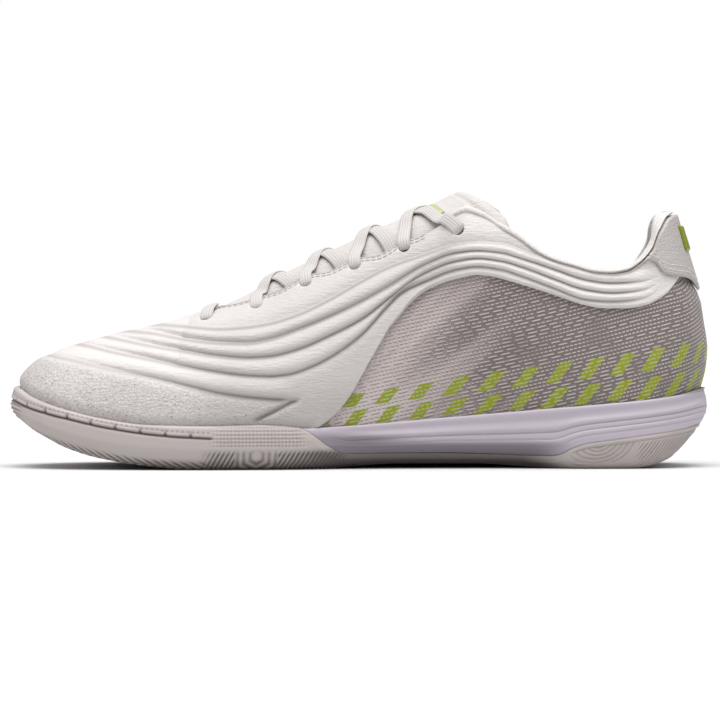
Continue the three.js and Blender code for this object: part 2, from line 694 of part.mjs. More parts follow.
function soleBody() {
  return toManifold(
    layer(stations, (k) => {
      const sideOf = (side) => [...solePoints(k, side), ...cupPoints(k, side).reverse()];
      const [medial, lateral] = [-1, 1].map(sideOf);
      const floor = across(medial[medial.length - 1], lateral[lateral.length - 1], 2);
      const bottom = across(lateral[0], medial[0], 2);
      return [...medial, ...floor, ...[...lateral].reverse(), ...bottom];
    }),
  );
}

// The space inside the outsole's walls and above its floor, where the midsole sits.
function coreBody(inset, drop) {
  return toManifold(
    layer(stations, (k) => {
      const along = alongOf(k);
      const low = treadHeight(along) + outsoleFloor - drop;
      const high = rimHeight(along) + heelStack;
      const [medial, lateral] = [-1, 1].map((side) => {
        const tuck = side < 0 ? waistTuck(along) : 0.4 * waistTuck(along);
        return [insetPoint(k, side, inset + tuck, low), insetPoint(k, side, inset + tuck, high)];
      });
      return [medial[0], medial[1], lateral[1], lateral[0]];
    }),
  );
}

// Everything under the outsole's top line, seen from the side.
function belowSeam(lift) {
  const side = new THREE.Shape();
  side.moveTo(-cutMargin, -cutMargin);
  side.lineTo(-cutMargin, seamHeight(0) + lift);
  for (const along of spaced(0.38, 1, 44)) side.lineTo(along * shoeLength, seamHeight(along) + lift);
  side.lineTo(shoeLength + cutMargin, seamHeight(1) + lift);
  side.lineTo(shoeLength + cutMargin, -cutMargin);
  const prism = new THREE.ExtrudeGeometry(side, { depth: 2 * ballWidth, bevelEnabled: false });
  prism.rotateX(Math.PI / 2).translate(0, ballWidth, 0);
  return toManifold(prism);
}

// Zigzag grooves across the tread, under the ball and under the heel.
function treadGrooves() {
  const zigzag = (from) => {
    const steps = spaced(-ballWidth * 0.6, ballWidth * 0.6, 6);
    const line = steps.map((y, i) => [from + (i % 2 ? zigzagSwing : -zigzagSwing), y]);
    const shapeOf = new THREE.Shape();
    line.forEach(([x, y], i) => (i ? shapeOf.lineTo(x, y) : shapeOf.moveTo(x, y)));
    [...line].reverse().forEach(([x, y]) => shapeOf.lineTo(x + grooveWidth, y));
    return shapeOf;
  };
  const places = [...spaced(0.19, 0.45, 9), ...spaced(0.77, 0.91, 5)];
  return places.map((along) => {
    const options = { depth: cutMargin, bevelEnabled: false };
    const groove = new THREE.ExtrudeGeometry(zigzag(along * shoeLength), options);
    return toManifold(groove.translate(0, 0, treadHeight(along) + grooveDepth - cutMargin));
  });
}

function outsoleGeometry() {
  const core = coreBody(outsoleWall, 0);
  const solid = soleBody().subtract(core).intersect(belowSeam(0));
  return fromManifold(treadGrooves().reduce((made, groove) => made.subtract(groove), solid));
}

function midsoleGeometry() {
  const inner = soleBody().intersect(coreBody(outsoleWall + clearance, -clearance));
  const outer = soleBody().subtract(belowSeam(clearance));
  return fromManifold(inner.add(outer));
}

function insoleGeometry() {
  const inset = rimWall + upperWall + 2 * clearance + insoleEase;
  return layer(stations, (k) => {
    const low = footbedHeight(alongOf(k)) + clearance;
    const [medial, lateral] = [-1, 1].map((side) => [
      insetPoint(k, side, inset, low),
      insetPoint(k, side, inset, low + insoleThickness),
    ]);
    const top = across(medial[1], lateral[1], 2);
    const bottom = across(lateral[0], medial[0], 2);
    return [...medial, ...top, lateral[1], lateral[0], ...bottom];
  });
}

// Tongue: a padded sheet arched across the throat.
const tongueLine = scaled([
  [0.275, 0.6], [0.309, 0.64], [0.34, 0.682], [0.378, 0.745], [0.413, 0.793], [0.449, 0.84],
  [0.482, 0.884], [0.516, 0.93], [0.551, 0.967], [0.5856, 1.008], [0.62, 1.055], [0.637, 1.078],
  [0.652, 1.088],
], instepHeight);
const tongueFrom = 0.29;
const tongueTo = 0.65;
const tongueSweep = 0.066;
const tongueHalf = scaled([
  [0.29, 0.12], [0.4, 0.2], [0.5, 0.235], [0.58, 0.23], [0.65, 0.17],
], ballWidth);
const tongueSide = scaled([
  [0.29, 0.563], [0.34, 0.585], [0.4, 0.632], [0.45, 0.685], [0.5, 0.74], [0.55, 0.793],
  [0.6, 0.86], [0.65, 0.96],
], instepHeight);
const tongueArch = (along) => {
  const half = tongueHalf(along);
  return (tongueLine(along) - tongueSide(along)) / (half * half);
};
function tongueHeight(x, y) {
  const along = x / shoeLength;
  return tongueLine(along) - tongueArch(along) * (y - axisLine(along)) ** 2;
}

function tongueSheet() {
  const rows = spaced(0, 1, 15).map((v) =>
    spaced(-1, 1, 8).map((w) => {
      const along = tongueFrom + (tongueTo - tongueFrom) * v;
      const x = (along + tongueSweep * v ** 3 * Math.abs(w) ** 1.4) * shoeLength;
      const y = w * tongueHalf(along);
      return new THREE.Vector3(x, axisLine(along) + y, tongueLine(along) - tongueArch(along) * y * y);
    }),
  );
  return weld(triangles(rows));
}

function tongueGeometry() {
  const pad = toManifold(thicken(tongueSheet(), -tongueThickness, 0));
  return fromManifold(pad.subtract(upperEnvelope).subtract(liningSolid(clearance)));
}

// Laces: flat bands that leave an eyelet, lie over the eyestay's edge and cross the tongue.
const laceLift = laceThickness / 2 + 3 * clearance;
const leatherSide = leatherWall + ribRelief * panelRelief + laceLift;

function eyestayPlace(along, side, t) {
  const { point, normal } = surfacePlace(sectionAtCrest(along), side, t);
  return { point: point.addScaledVector(normal, leatherSide), normal };
}

function eyeletEnd(eyelet, side) {
  const { point, normal } = eyeletPlace(eyelet, side);
  return { point: point.addScaledVector(normal, leatherSide), normal };
}

// Over the tongue between the two edges of the throat; across runs from 1 at one edge to -1 at the other.
function tonguePlace(along, side, across) {
  const x = along * shoeLength;
  const y = axisLine(along) + side * across * openHalf(along);
  const slope = (tongueHeight(x + 1, y) - tongueHeight(x - 1, y)) / 2;
  const fall = (tongueHeight(x, y + 1) - tongueHeight(x, y - 1)) / 2;
  const normal = new THREE.Vector3(-slope, -fall, 1).normalize();
  return { point: new THREE.Vector3(x, y, tongueHeight(x, y)).addScaledVector(normal, laceLift), normal };
}

// Where a band lies on its way: across the throat, and how far it has moved towards the next eyelet.
const bandRun = [
  { across: 0.55, ahead: 0.06 },
  { across: 0, ahead: 0.2 },
  { across: -0.55, ahead: 0.56 },
];

function bandPath(from, to, side, overEdge) {
  const at = (ahead) => from.along + (to.along - from.along) * ahead;
  const places = [eyeletEnd(from, side), eyestayPlace(at(0.02), side, 1)];
  places.push(...bandRun.map(({ across, ahead }) => tonguePlace(at(ahead), side, across)));
  if (overEdge) places.push(eyestayPlace(at(0.86), -side, 1), eyeletEnd(to, -side));
  else places.push(tonguePlace(at(1), side, -0.88));
  return {
    line: new THREE.CatmullRomCurve3(places.map((place) => place.point)),
    normals: new THREE.CatmullRomCurve3(places.map((place) => place.normal)),
  };
}

function bandSolid({ line, normals }) {
  const rings = spaced(0, 1, laceSteps).map((f) => {
    const p = line.getPoint(f);
    const out = normals.getPoint(f).normalize();
    const wide = new THREE.Vector3().crossVectors(line.getTangent(f), out).setLength(laceWidth / 2);
    const thick = out.clone().multiplyScalar(laceThickness / 2);
    return [
      p.clone().add(wide).add(thick),
      p.clone().sub(wide).add(thick),
      p.clone().sub(wide).sub(thick),
      p.clone().add(wide).sub(thick),
    ];
  });
  return toManifold(loft(rings));
}

const tongueEnvelope = () => toManifold(thicken(tongueSheet(), -tongueThickness, clearance));

function laceGeometries() {
  const keepClear = upperEnvelope.add(tongueEnvelope());
  const crossing = (from, to, sides, overEdge) => {
    const bands = sides.map((side) => bandSolid(bandPath(from, to, side, overEdge)));
    return fromManifold(bands.reduce((made, band) => made.add(band)).subtract(keepClear));
  };
  const made = { lace_bar: crossing(eyelets[0], eyelets[0], [-1], true) };
  for (let i = 1; i < eyelets.length - 1; i += 1) {
    const last = i === eyelets.length - 2;
    const dive = eyelets[i].along + laceDive * (eyelets[i + 1].along - eyelets[i].along);
    const to = last ? eyelets[i + 1] : { along: dive };
    made[`lace_cross_${i}`] = crossing(eyelets[i], to, [-1, 1], last);
  }
  return made;
}

// Materials
const paint = (color, roughness) => new THREE.MeshStandardMaterial({ color, roughness, metalness: 0 });
const finishes = {
  rubber: paint("#b9afac", 0.75),
  foam: paint("#cfc6d3", 0.6),
  knit: paint("#b3a8a5", 0.85),
  leather: paint("#e4dfdc", 0.5),
  lining: paint("#eeeae8", 0.9),
  lace: paint("#e8e4e2", 0.85),
  lime: paint("#a9c93a", 0.5),
};

function piece(name, geometry, finish) {
  const mesh = new THREE.Mesh(geometry, finish);
  mesh.name = name;
  return mesh;
}

const shoe = new THREE.Group();
shoe.name = "indoor_soccer_shoe";
shoe.add(
  piece("outsole", outsoleGeometry(), finishes.rubber),
  piece("midsole", midsoleGeometry(), finishes.foam),
  piece("insole", insoleGeometry(), finishes.lining),
  piece("upper", upperGeometry(), finishes.knit),
  piece("heel_tab", heelTabGeometry(), finishes.leather),
  piece("heel_badge", heelBadgeGeometry(), finishes.lime),
  piece("collar_lining", fromManifold(liningSolid(0)), finishes.lining),
  piece("tongue", tongueGeometry(), finishes.leather),
);
for (const [name, geometry] of Object.entries(laceGeometries())) {
  shoe.add(piece(name, geometry, finishes.lace));
}

// Stand the shoe on the floor with the middle of its bounding box at the origin.
const bounds = new THREE.Box3().setFromObject(shoe);
const middle = bounds.getCenter(new THREE.Vector3());
shoe.position.set(-middle.x, -middle.y, -bounds.min.z);

export default shoe;
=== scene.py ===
"""Indoor soccer shoe: the finished looks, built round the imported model.

Every piece is a surface worked out from one last, in millimetres, with the toe at x = 0.
The last is the same as in the part's source: a plan outline, heights along the shoe, and for
each section a curve that rises from the footbed to the crest, the throat or the collar.
"""
import math

import bpy
import numpy as np
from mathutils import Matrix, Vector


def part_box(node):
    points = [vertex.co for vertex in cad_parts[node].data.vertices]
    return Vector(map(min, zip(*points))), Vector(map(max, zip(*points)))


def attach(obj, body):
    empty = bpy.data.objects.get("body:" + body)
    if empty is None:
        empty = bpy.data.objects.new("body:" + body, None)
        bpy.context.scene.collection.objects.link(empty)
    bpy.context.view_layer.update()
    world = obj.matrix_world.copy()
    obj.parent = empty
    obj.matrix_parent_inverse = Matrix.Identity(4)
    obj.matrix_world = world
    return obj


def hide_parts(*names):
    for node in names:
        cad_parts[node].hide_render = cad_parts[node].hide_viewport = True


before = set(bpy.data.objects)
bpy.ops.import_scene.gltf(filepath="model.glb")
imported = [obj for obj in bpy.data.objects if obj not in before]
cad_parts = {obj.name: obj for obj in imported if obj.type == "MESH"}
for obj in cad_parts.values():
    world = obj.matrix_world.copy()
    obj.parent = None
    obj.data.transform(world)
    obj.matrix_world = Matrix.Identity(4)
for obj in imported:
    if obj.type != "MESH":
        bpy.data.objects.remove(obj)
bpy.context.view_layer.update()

bl_info = {
    "name": "Indoor soccer shoe",
    "version": (1, 0, 0),
    "blender": (4, 5, 0),
    "location": "3D View > Sidebar > Shoe",
    "description": "Builds the leather, knit, rubber, foam and laces of an indoor soccer shoe",
    "category": "Add Mesh",
}

MM = 0.001

# How far the sole bulges past the last's length at toe and heel, and past its width on each side.
TOE_BULGE = 0.75
HEEL_BULGE = 0.6
SIDE_BULGE = 0.5
SOLE_LOW, SOLE_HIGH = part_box("outsole")
HEEL_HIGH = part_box("midsole")[1]
ORIGIN_X = SOLE_LOW.x / MM + TOE_BULGE
FRAME_LENGTH = HEEL_HIGH.x - SOLE_LOW.x - (TOE_BULGE + HEEL_BULGE) * MM
FRAME_WIDTH = SOLE_HIGH.y - SOLE_LOW.y - 2 * SIDE_BULGE * MM

# Sections of the last from toe to heel: share of the length; width it is measured in (0 ball, 1 heel);
# medial and lateral half widths; where the top lies; flare and roof angles; how far they hold.
SECTIONS = np.array([
    # along, of, medial, lateral, crest, flare, rise, roof, reach
    [0.0, 0, 0.087, -0.087, 0.15, 2, 0.3, 90, 0.5],
    [0.01, 0, 0.231, 0.072, 0.153, 2, 0.3, 90, 0.5],
    [0.03, 0, 0.327, 0.154, 0.16, 3, 0.3, 90, 0.48],
    [0.07, 0, 0.409, 0.26, 0.176, 4, 0.31, 90, 0.46],
    [0.13, 0, 0.464, 0.351, 0.205, 4, 0.32, 90, 0.44],
    [0.2, 0, 0.492, 0.423, 0.245, 4, 0.33, 90, 0.42],
    [0.28, 0, 0.5, 0.471, 0.3, 3, 0.33, 84, 0.4],
    [0.36, 0, 0.479, 0.497, 0.366, 3, 0.33, 70, 0.38],
    [0.43, 0, 0.438, 0.5, 0.432, 3, 0.33, 60, 0.37],
    [0.5, 0, 0.385, 0.484, 0.5, 4, 0.33, 52, 0.36],
    [0.58, 1, 0.465, 0.6, 0.578, 5, 0.33, 44, 0.35],
    [0.66, 1, 0.446, 0.55, 0.655, 7, 0.33, 34, 0.34],
    [0.75, 1, 0.465, 0.519, 0.74, 9, 0.33, 22, 0.33],
    [0.83, 1, 0.488, 0.51, 0.815, 10, 0.33, 15, 0.33],
    [0.9, 1, 0.468, 0.485, 0.875, 11, 0.33, 14, 0.33],
    [0.95, 1, 0.39, 0.405, 0.916, 13, 0.33, 14, 0.33],
    [0.98, 1, 0.265, 0.277, 0.937, 15, 0.33, 15, 0.34],
    [1.0, 1, -0.006, 0.006, 0.946, 16, 0.33, 16, 0.35],
])
LAST_SECTION = len(SECTIONS) - 1
MEDIAL, LATERAL = -1, 1

# Heights along the shoe: share of the length, share of the size that the line is measured in.
RIM_FRONT = [(0, 1.9), (0.01, 1.82), (0.03, 1.66), (0.07, 1.44), (0.13, 1.2), (0.2, 1.04), (0.28, 1.01),
             (0.36, 1.03), (0.43, 0.965)]
RIM_BACK = [(0.43, 0.515), (0.5, 0.55), (0.58, 0.61), (0.66, 0.67), (0.75, 0.74), (0.83, 0.8), (0.9, 0.855),
            (0.95, 0.91), (1, 1)]
TREAD = [(0, 1.08), (0.01, 0.98), (0.03, 0.8), (0.07, 0.53), (0.13, 0.26), (0.2, 0.085), (0.27, 0), (0.45, 0),
         (0.56, 0.1), (0.66, 0.1), (0.77, 0), (0.89, 0), (0.95, 0.22), (0.98, 0.56), (1, 1.02)]
FOOTBED_FRONT = [(0, 2.6), (0.01, 2.5), (0.03, 2.26), (0.07, 1.86), (0.13, 1.4), (0.2, 1.1), (0.28, 0.98),
                 (0.36, 1), (0.43, 1.06)]
FOOTBED_BACK = [(0.43, 0.506), (0.5, 0.6), (0.58, 0.71), (0.66, 0.82), (0.75, 0.91), (0.83, 0.96),
                (0.9, 0.99), (1, 1.04)]
SOLE_SEAM = [(0, 2.3), (0.4, 1.5), (0.413, 1.0), (0.426, 0.9), (0.44, 0.74), (0.456, 0.55), (0.485, 0.36),
             (0.6, 0.36), (0.77, 0.3), (0.785, 0.36), (0.8, 0.49), (0.82, 0.6), (0.84, 0.65), (0.89, 0.76),
             (0.95, 0.9), (1, 1.06)]
CREST = [(0, 0.7), (0.15, 0.86), (0.2, 0.905), (0.24, 0.955), (0.268, 0.995)]
THROAT_EDGE = [(0.268, 0.593), (0.29, 0.606), (0.357, 0.65), (0.426, 0.738), (0.495, 0.808), (0.565, 0.88),
               (0.614, 0.94), (0.632, 0.978), (0.65, 1)]
COLLAR = [(0.65, 1.0067), (0.678, 0.978), (0.7, 0.936), (0.72, 0.905), (0.754, 0.84), (0.771, 0.816),
          (0.804, 0.789), (0.833, 0.767), (0.855, 0.763), (0.878, 0.773), (0.899, 0.81), (0.914, 0.86),
          (0.924, 0.93), (0.935, 0.985), (0.946, 1)]
COLLAR_DROP = [(0.65, 0), (0.72, 1.2), (0.8, 2.6), (0.87, 2.6), (0.92, 0.8), (0.946, 0)]
OPEN_FRONT = [(0.268, 0), (0.276, 0.04), (0.29, 0.064), (0.357, 0.105), (0.426, 0.125), (0.495, 0.144),
              (0.565, 0.163), (0.614, 0.183)]
OPEN_BACK = [(0.614, 0.245), (0.65, 0.29), (0.7, 0.325), (0.754, 0.355), (0.804, 0.37), (0.855, 0.36),
             (0.899, 0.315), (0.923, 0.245), (0.935, 0.16), (0.946, 0)]
AXIS = [(0.15, -0.077), (0.27, -0.058), (0.45, -0.029), (0.65, -0.01), (0.85, 0), (0.946, 0.004)]
LEATHER_EDGE = [(0.44, 0.16), (0.463, 0.208), (0.48, 0.264), (0.493, 0.32), (0.511, 0.408), (0.529, 0.492),
                (0.542, 0.552), (0.555, 0.594), (0.571, 0.648), (0.594, 0.7), (0.617, 0.729), (0.64, 0.749),
                (0.663, 0.762), (0.685, 0.756), (0.708, 0.74), (0.742, 0.712), (0.777, 0.68), (0.816, 0.644),
                (0.846, 0.63), (0.875, 0.63), (0.905, 0.642), (0.934, 0.684), (0.96, 0.765), (1, 0.775)]
RIB_VALLEYS = [
    [(0, 0.56), (0.2, 0.565), (0.25, 0.558), (0.3, 0.548), (0.33, 0.552), (0.37, 0.568), (0.413, 0.605),
     (0.456, 0.662), (0.5, 0.732), (0.54, 0.79), (0.593, 0.842), (0.64, 0.883), (0.665, 0.89), (0.7, 0.884),
     (0.73, 0.858), (0.75, 0.836), (0.775, 0.822), (0.85, 0.775), (0.93, 0.79)],
    [(0, 0.54), (0.15, 0.54), (0.2, 0.532), (0.25, 0.508), (0.3, 0.493), (0.34, 0.491), (0.37, 0.504),
     (0.413, 0.545), (0.456, 0.594), (0.5, 0.652), (0.54, 0.712), (0.593, 0.797), (0.64, 0.846),
     (0.665, 0.853), (0.7, 0.844), (0.73, 0.82), (0.775, 0.781), (0.82, 0.74), (0.855, 0.728), (0.9, 0.735),
     (0.95, 0.79)],
    [(0, 0.53), (0.1, 0.53), (0.15, 0.51), (0.2, 0.483), (0.25, 0.461), (0.3, 0.441), (0.34, 0.433),
     (0.37, 0.438), (0.413, 0.468), (0.456, 0.52), (0.5, 0.582), (0.54, 0.661), (0.593, 0.764), (0.64, 0.814),
     (0.665, 0.824), (0.7, 0.812), (0.73, 0.788), (0.775, 0.742), (0.82, 0.701), (0.855, 0.689), (0.9, 0.7),
     (0.95, 0.78)],
    [(0, 0.52), (0.07, 0.498), (0.11, 0.482), (0.15, 0.457), (0.2, 0.43), (0.25, 0.402), (0.3, 0.379),
     (0.34, 0.366), (0.37, 0.363), (0.4, 0.372), (0.43, 0.4), (0.456, 0.436), (0.5, 0.522), (0.54, 0.64),
     (0.56, 0.692), (0.593, 0.735), (0.64, 0.784), (0.665, 0.794), (0.7, 0.781), (0.73, 0.754),
     (0.775, 0.708), (0.82, 0.664), (0.855, 0.657), (0.9, 0.668), (0.95, 0.775)],
    [(0, 0.47), (0.052, 0.445), (0.11, 0.414), (0.14, 0.394), (0.185, 0.368), (0.23, 0.343), (0.26, 0.325),
     (0.3, 0.3), (0.34, 0.284), (0.39, 0.274), (0.42, 0.274), (0.45, 0.28)],
]
TAB_EDGE = [(0.9, 0.83), (0.908, 0.816), (0.917, 0.805), (0.927, 0.771), (0.941, 0.754), (0.958, 0.747),
            (0.968, 0.736), (0.976, 0.709), (0.984, 0.678), (1, 0.67)]
TONGUE_LINE = [(0.25, 0.552), (0.268, 0.57), (0.29, 0.606), (0.309, 0.64), (0.34, 0.682), (0.378, 0.745),
               (0.413, 0.793), (0.449, 0.84), (0.482, 0.884), (0.516, 0.93), (0.551, 0.967), (0.5856, 1.008),
               (0.62, 1.055), (0.637, 1.078), (0.652, 1.088)]
TONGUE_HALF = [(0.25, 0.09), (0.29, 0.12), (0.4, 0.2), (0.5, 0.235), (0.58, 0.23), (0.65, 0.17)]
TONGUE_SIDE = [(0.25, 0.53), (0.29, 0.563), (0.34, 0.585), (0.4, 0.632), (0.45, 0.685), (0.5, 0.74),
               (0.55, 0.793), (0.6, 0.845), (0.65, 0.93)]
WAIST_TUCK = [(0.4, 0), (0.52, 2.6), (0.7, 2.6), (0.8, 0)]
# Side of the sole: share of the height from tread to rim, and inset from the outline in millimetres.
WALL_INSET = [(0, 5), (0.1, 2.2), (0.28, 0.3), (0.5, -0.5), (0.6, -0.4), (0.7, -0.3), (0.76, -0.2), (0.82, 0),
              (1, 0.2)]
# The groove under the toe's lip, as a share of the ball's stack height.
LIP_GROOVE = [(0, 1.614), (0.032, 1.415), (0.0616, 1.278), (0.0957, 1.15), (0.132, 1.017), (0.168, 0.915),
              (0.203, 0.835), (0.2414, 0.776), (0.2927, 0.733)]
# The seam that runs back from the toe panel's tip, as a share of the heel's height.
NOTCH = [(0.3545, 0.196), (0.376, 0.224), (0.407, 0.268)]
# Eyelets: share of the length, share of the instep's height.
EYELETS = np.array([(0.29, 0.575), (0.356, 0.618), (0.426, 0.708), (0.495, 0.778), (0.565, 0.852),
                    (0.64, 0.925)])

THROAT_START = 0.268
LINING_START = 0.625
SOLE_SPLIT = 0.43
LEATHER_FROM = 0.44
TAB_FROM = 0.9
RIM_WALL = 3
CLEARANCE = 0.3
LINING_DEPTH = 0.24
THROAT_END = 0.65
OPEN_SPLIT = 0.614
TONGUE_FROM, TONGUE_TO = 0.25, 0.65
TONGUE_SWEEP = 0.083
TONGUE_CORNER = 6
TINY = 1e-9
# The leather's lit colour, and the darker colour that carries its painted shade and the toe panel's darker
# grain.
LEATHER_LIT, LEATHER_SHADE = "#dbd6d4", "#8b8482"
# The rim's tuck under the arch is weaker on the lateral side.
LATERAL_TUCK = 0.4
STITCH_LENGTH = 2.0
EYELET_REACH = 7.0
BADGE_ABOVE = 1.65
FLOOR_LINES = 19
CEMENT = 0.05
# Numbers of rows and columns of the finer meshes.
KNIT_ROWS, KNIT_COLUMNS = 190, 46
LEATHER_ROWS = 212
CUP_ROWS, CUP_COLUMNS = 820, 50
# Millimetres: how far the knit ends under the leather's edge, how deep that edge is scalloped, how far
# the leather goes below the sole's rim, and its thickness at a skived edge.
KNIT_SHORT = 2.2
SCALLOP = 2.2
LEATHER_TUCKED = 2.0
EDGE_WALL = 0.35
# Distances between the repeats of the forefoot's moulded patterns, in millimetres.
TICK_PITCH, PIP_PITCH, WEDGE_PITCH = 10.4, 2.1, 4.0
HATCH_PITCH, SLAT_PITCH, RING_PITCH = 3.0, 1.95, 2.6
# Collar roll: share of the lining's depth below the top edge, share of its thickness, share of its height.
ROLL_PROFILE = [(1, 0, 0), (0.5, 0, 0), (0.12, 0, 0), (0.03, -0.1, 0.08), (0, -0.28, 0.4), (0, -0.1, 0.82),
                (0, 0.34, 1), (0, 0.78, 0.72), (0.05, 1, 0.1), (0.5, 0.86, 0), (1, 0.3, 0), (1, 0, 0)]
# A strand's way over the tongue: share of the half width, share of the way ahead, and height if it is fixed.
ROUTE = ((0.62, 0.05, None), (0.3, 0.15, None), (0.0, 0.26, None), (-0.35, 0.42, None), (-0.72, 0.6, None))
UNDER_ROUTE = ((-0.95, 0.72, 0.4), (-1.15, 0.82, -0.2))
LAST_ROUTE = ((0.62, 0.0, None), (0.3, 0.05, None), (0.0, 0.16, None), (-0.35, 0.4, None),
              (-0.72, 0.63, None))


def hex_colour(text):
    """Linear colour of an sRGB hex value: the standard curve on each of its three channels."""
    shares = np.array([int(text[i:i + 2], 16) for i in (1, 3, 5)]) / 255
    return tuple(np.where(shares <= 0.04045, shares / 12.92, ((shares + 0.055) / 1.055) ** 2.4).tolist())


def smoothstep(x, low, high):
    """0 below low, 1 above high, and 3 f^2 - 2 f^3 between them."""
    f = np.clip((x - low) / (high - low), 0, 1)
    return f * f * (3 - 2 * f)


def bump(x, centre, width):
    """A bell of height 1: exp(-((x - centre) / width)^2)."""
    return np.exp(-(((x - centre) / width) ** 2))


def curve(points, size=1.0):
    """Monotone cubic through (at, value) points, with each value times a size.

    The slope at a point is the harmonic mean of the rates on both sides, or 0 at a turn.
    """
    at, value = np.array(points, float).T
    value = value * size
    step = np.diff(at)
    rate = np.diff(value) / step
    slope = np.concatenate([rate[:1], np.zeros(len(rate) - 1), rate[-1:]])
    product = rate[:-1] * rate[1:]
    total = np.where(product > 0, rate[:-1] + rate[1:], 1)
    slope[1:-1] = np.where(product > 0, 2 * product / total, 0)

    def read(x):
        x = np.clip(x, at[0], at[-1])
        i = np.clip(np.searchsorted(at, x, side="right") - 1, 0, len(step) - 1)
        f = (x - at[i]) / step[i]
        g = 1 - f
        ends = value[i] * (1 + 2 * f) * g * g + value[i + 1] * f * f * (3 - 2 * f)
        return ends + step[i] * (slope[i] * f * g * g - slope[i + 1] * f * f * g)

    return read


def bezier(controls, t):
    """Cubic Bezier: the four control points weighted with (1-t)^3, 3(1-t)^2 t, 3(1-t) t^2 and t^3."""
    t = np.asarray(t, float)[..., None]
    g = 1 - t
    weights = (g ** 3, 3 * g * g * t, 3 * g * t * t, t ** 3)
    return sum(w * controls[..., i, :] for i, w in enumerate(weights))


def unit(vectors):
    """Vectors divided by their lengths."""
    length = np.linalg.norm(vectors, axis=-1, keepdims=True)
    return vectors / np.where(length > 0, length, 1)


def window(x, low, full, fade, end):
    """Rises smoothly from 0 at low to 1 at full and falls back to 0 between fade and end."""
    return smoothstep(x, low, full) * (1 - smoothstep(x, fade, end))


def quarter_round(x):
    """Profile of a rounded edge: a quarter circle from 0 at x = 0 to 1 at x = 1."""
    return np.sqrt(1 - (1 - np.clip(x, 0, 1)) ** 2)


def wave(turns):
    """Sine of a number of turns."""
    return np.sin(2 * np.pi * turns)


def path_length(line):
    """Distance travelled at each point of a line."""
    return np.concatenate([[0], np.cumsum(np.linalg.norm(np.diff(line, axis=0), axis=1))])


def read_path(wanted, travel, values):
    """Points or vectors given at the distances travelled, read at the wanted ones."""
    return np.stack([np.interp(wanted, travel, values[:, j]) for j in range(3)], 1)


def curve_lengths(controls, count=40):
    """Lengths of section curves, measured over a number of points."""
    points = bezier(controls[:, None], np.linspace(0, 1, count))
    return np.linalg.norm(np.diff(points, axis=1), axis=-1).sum(1)


def from_ends(count):
    """Number of each row, counted from the nearer end."""
    return np.minimum(np.arange(count), np.arange(count)[::-1])


def between(sides, share):
    """Grid of points between two lines of them."""
    return sides[0][:, None] * (1 - share) + sides[1][:, None] * share


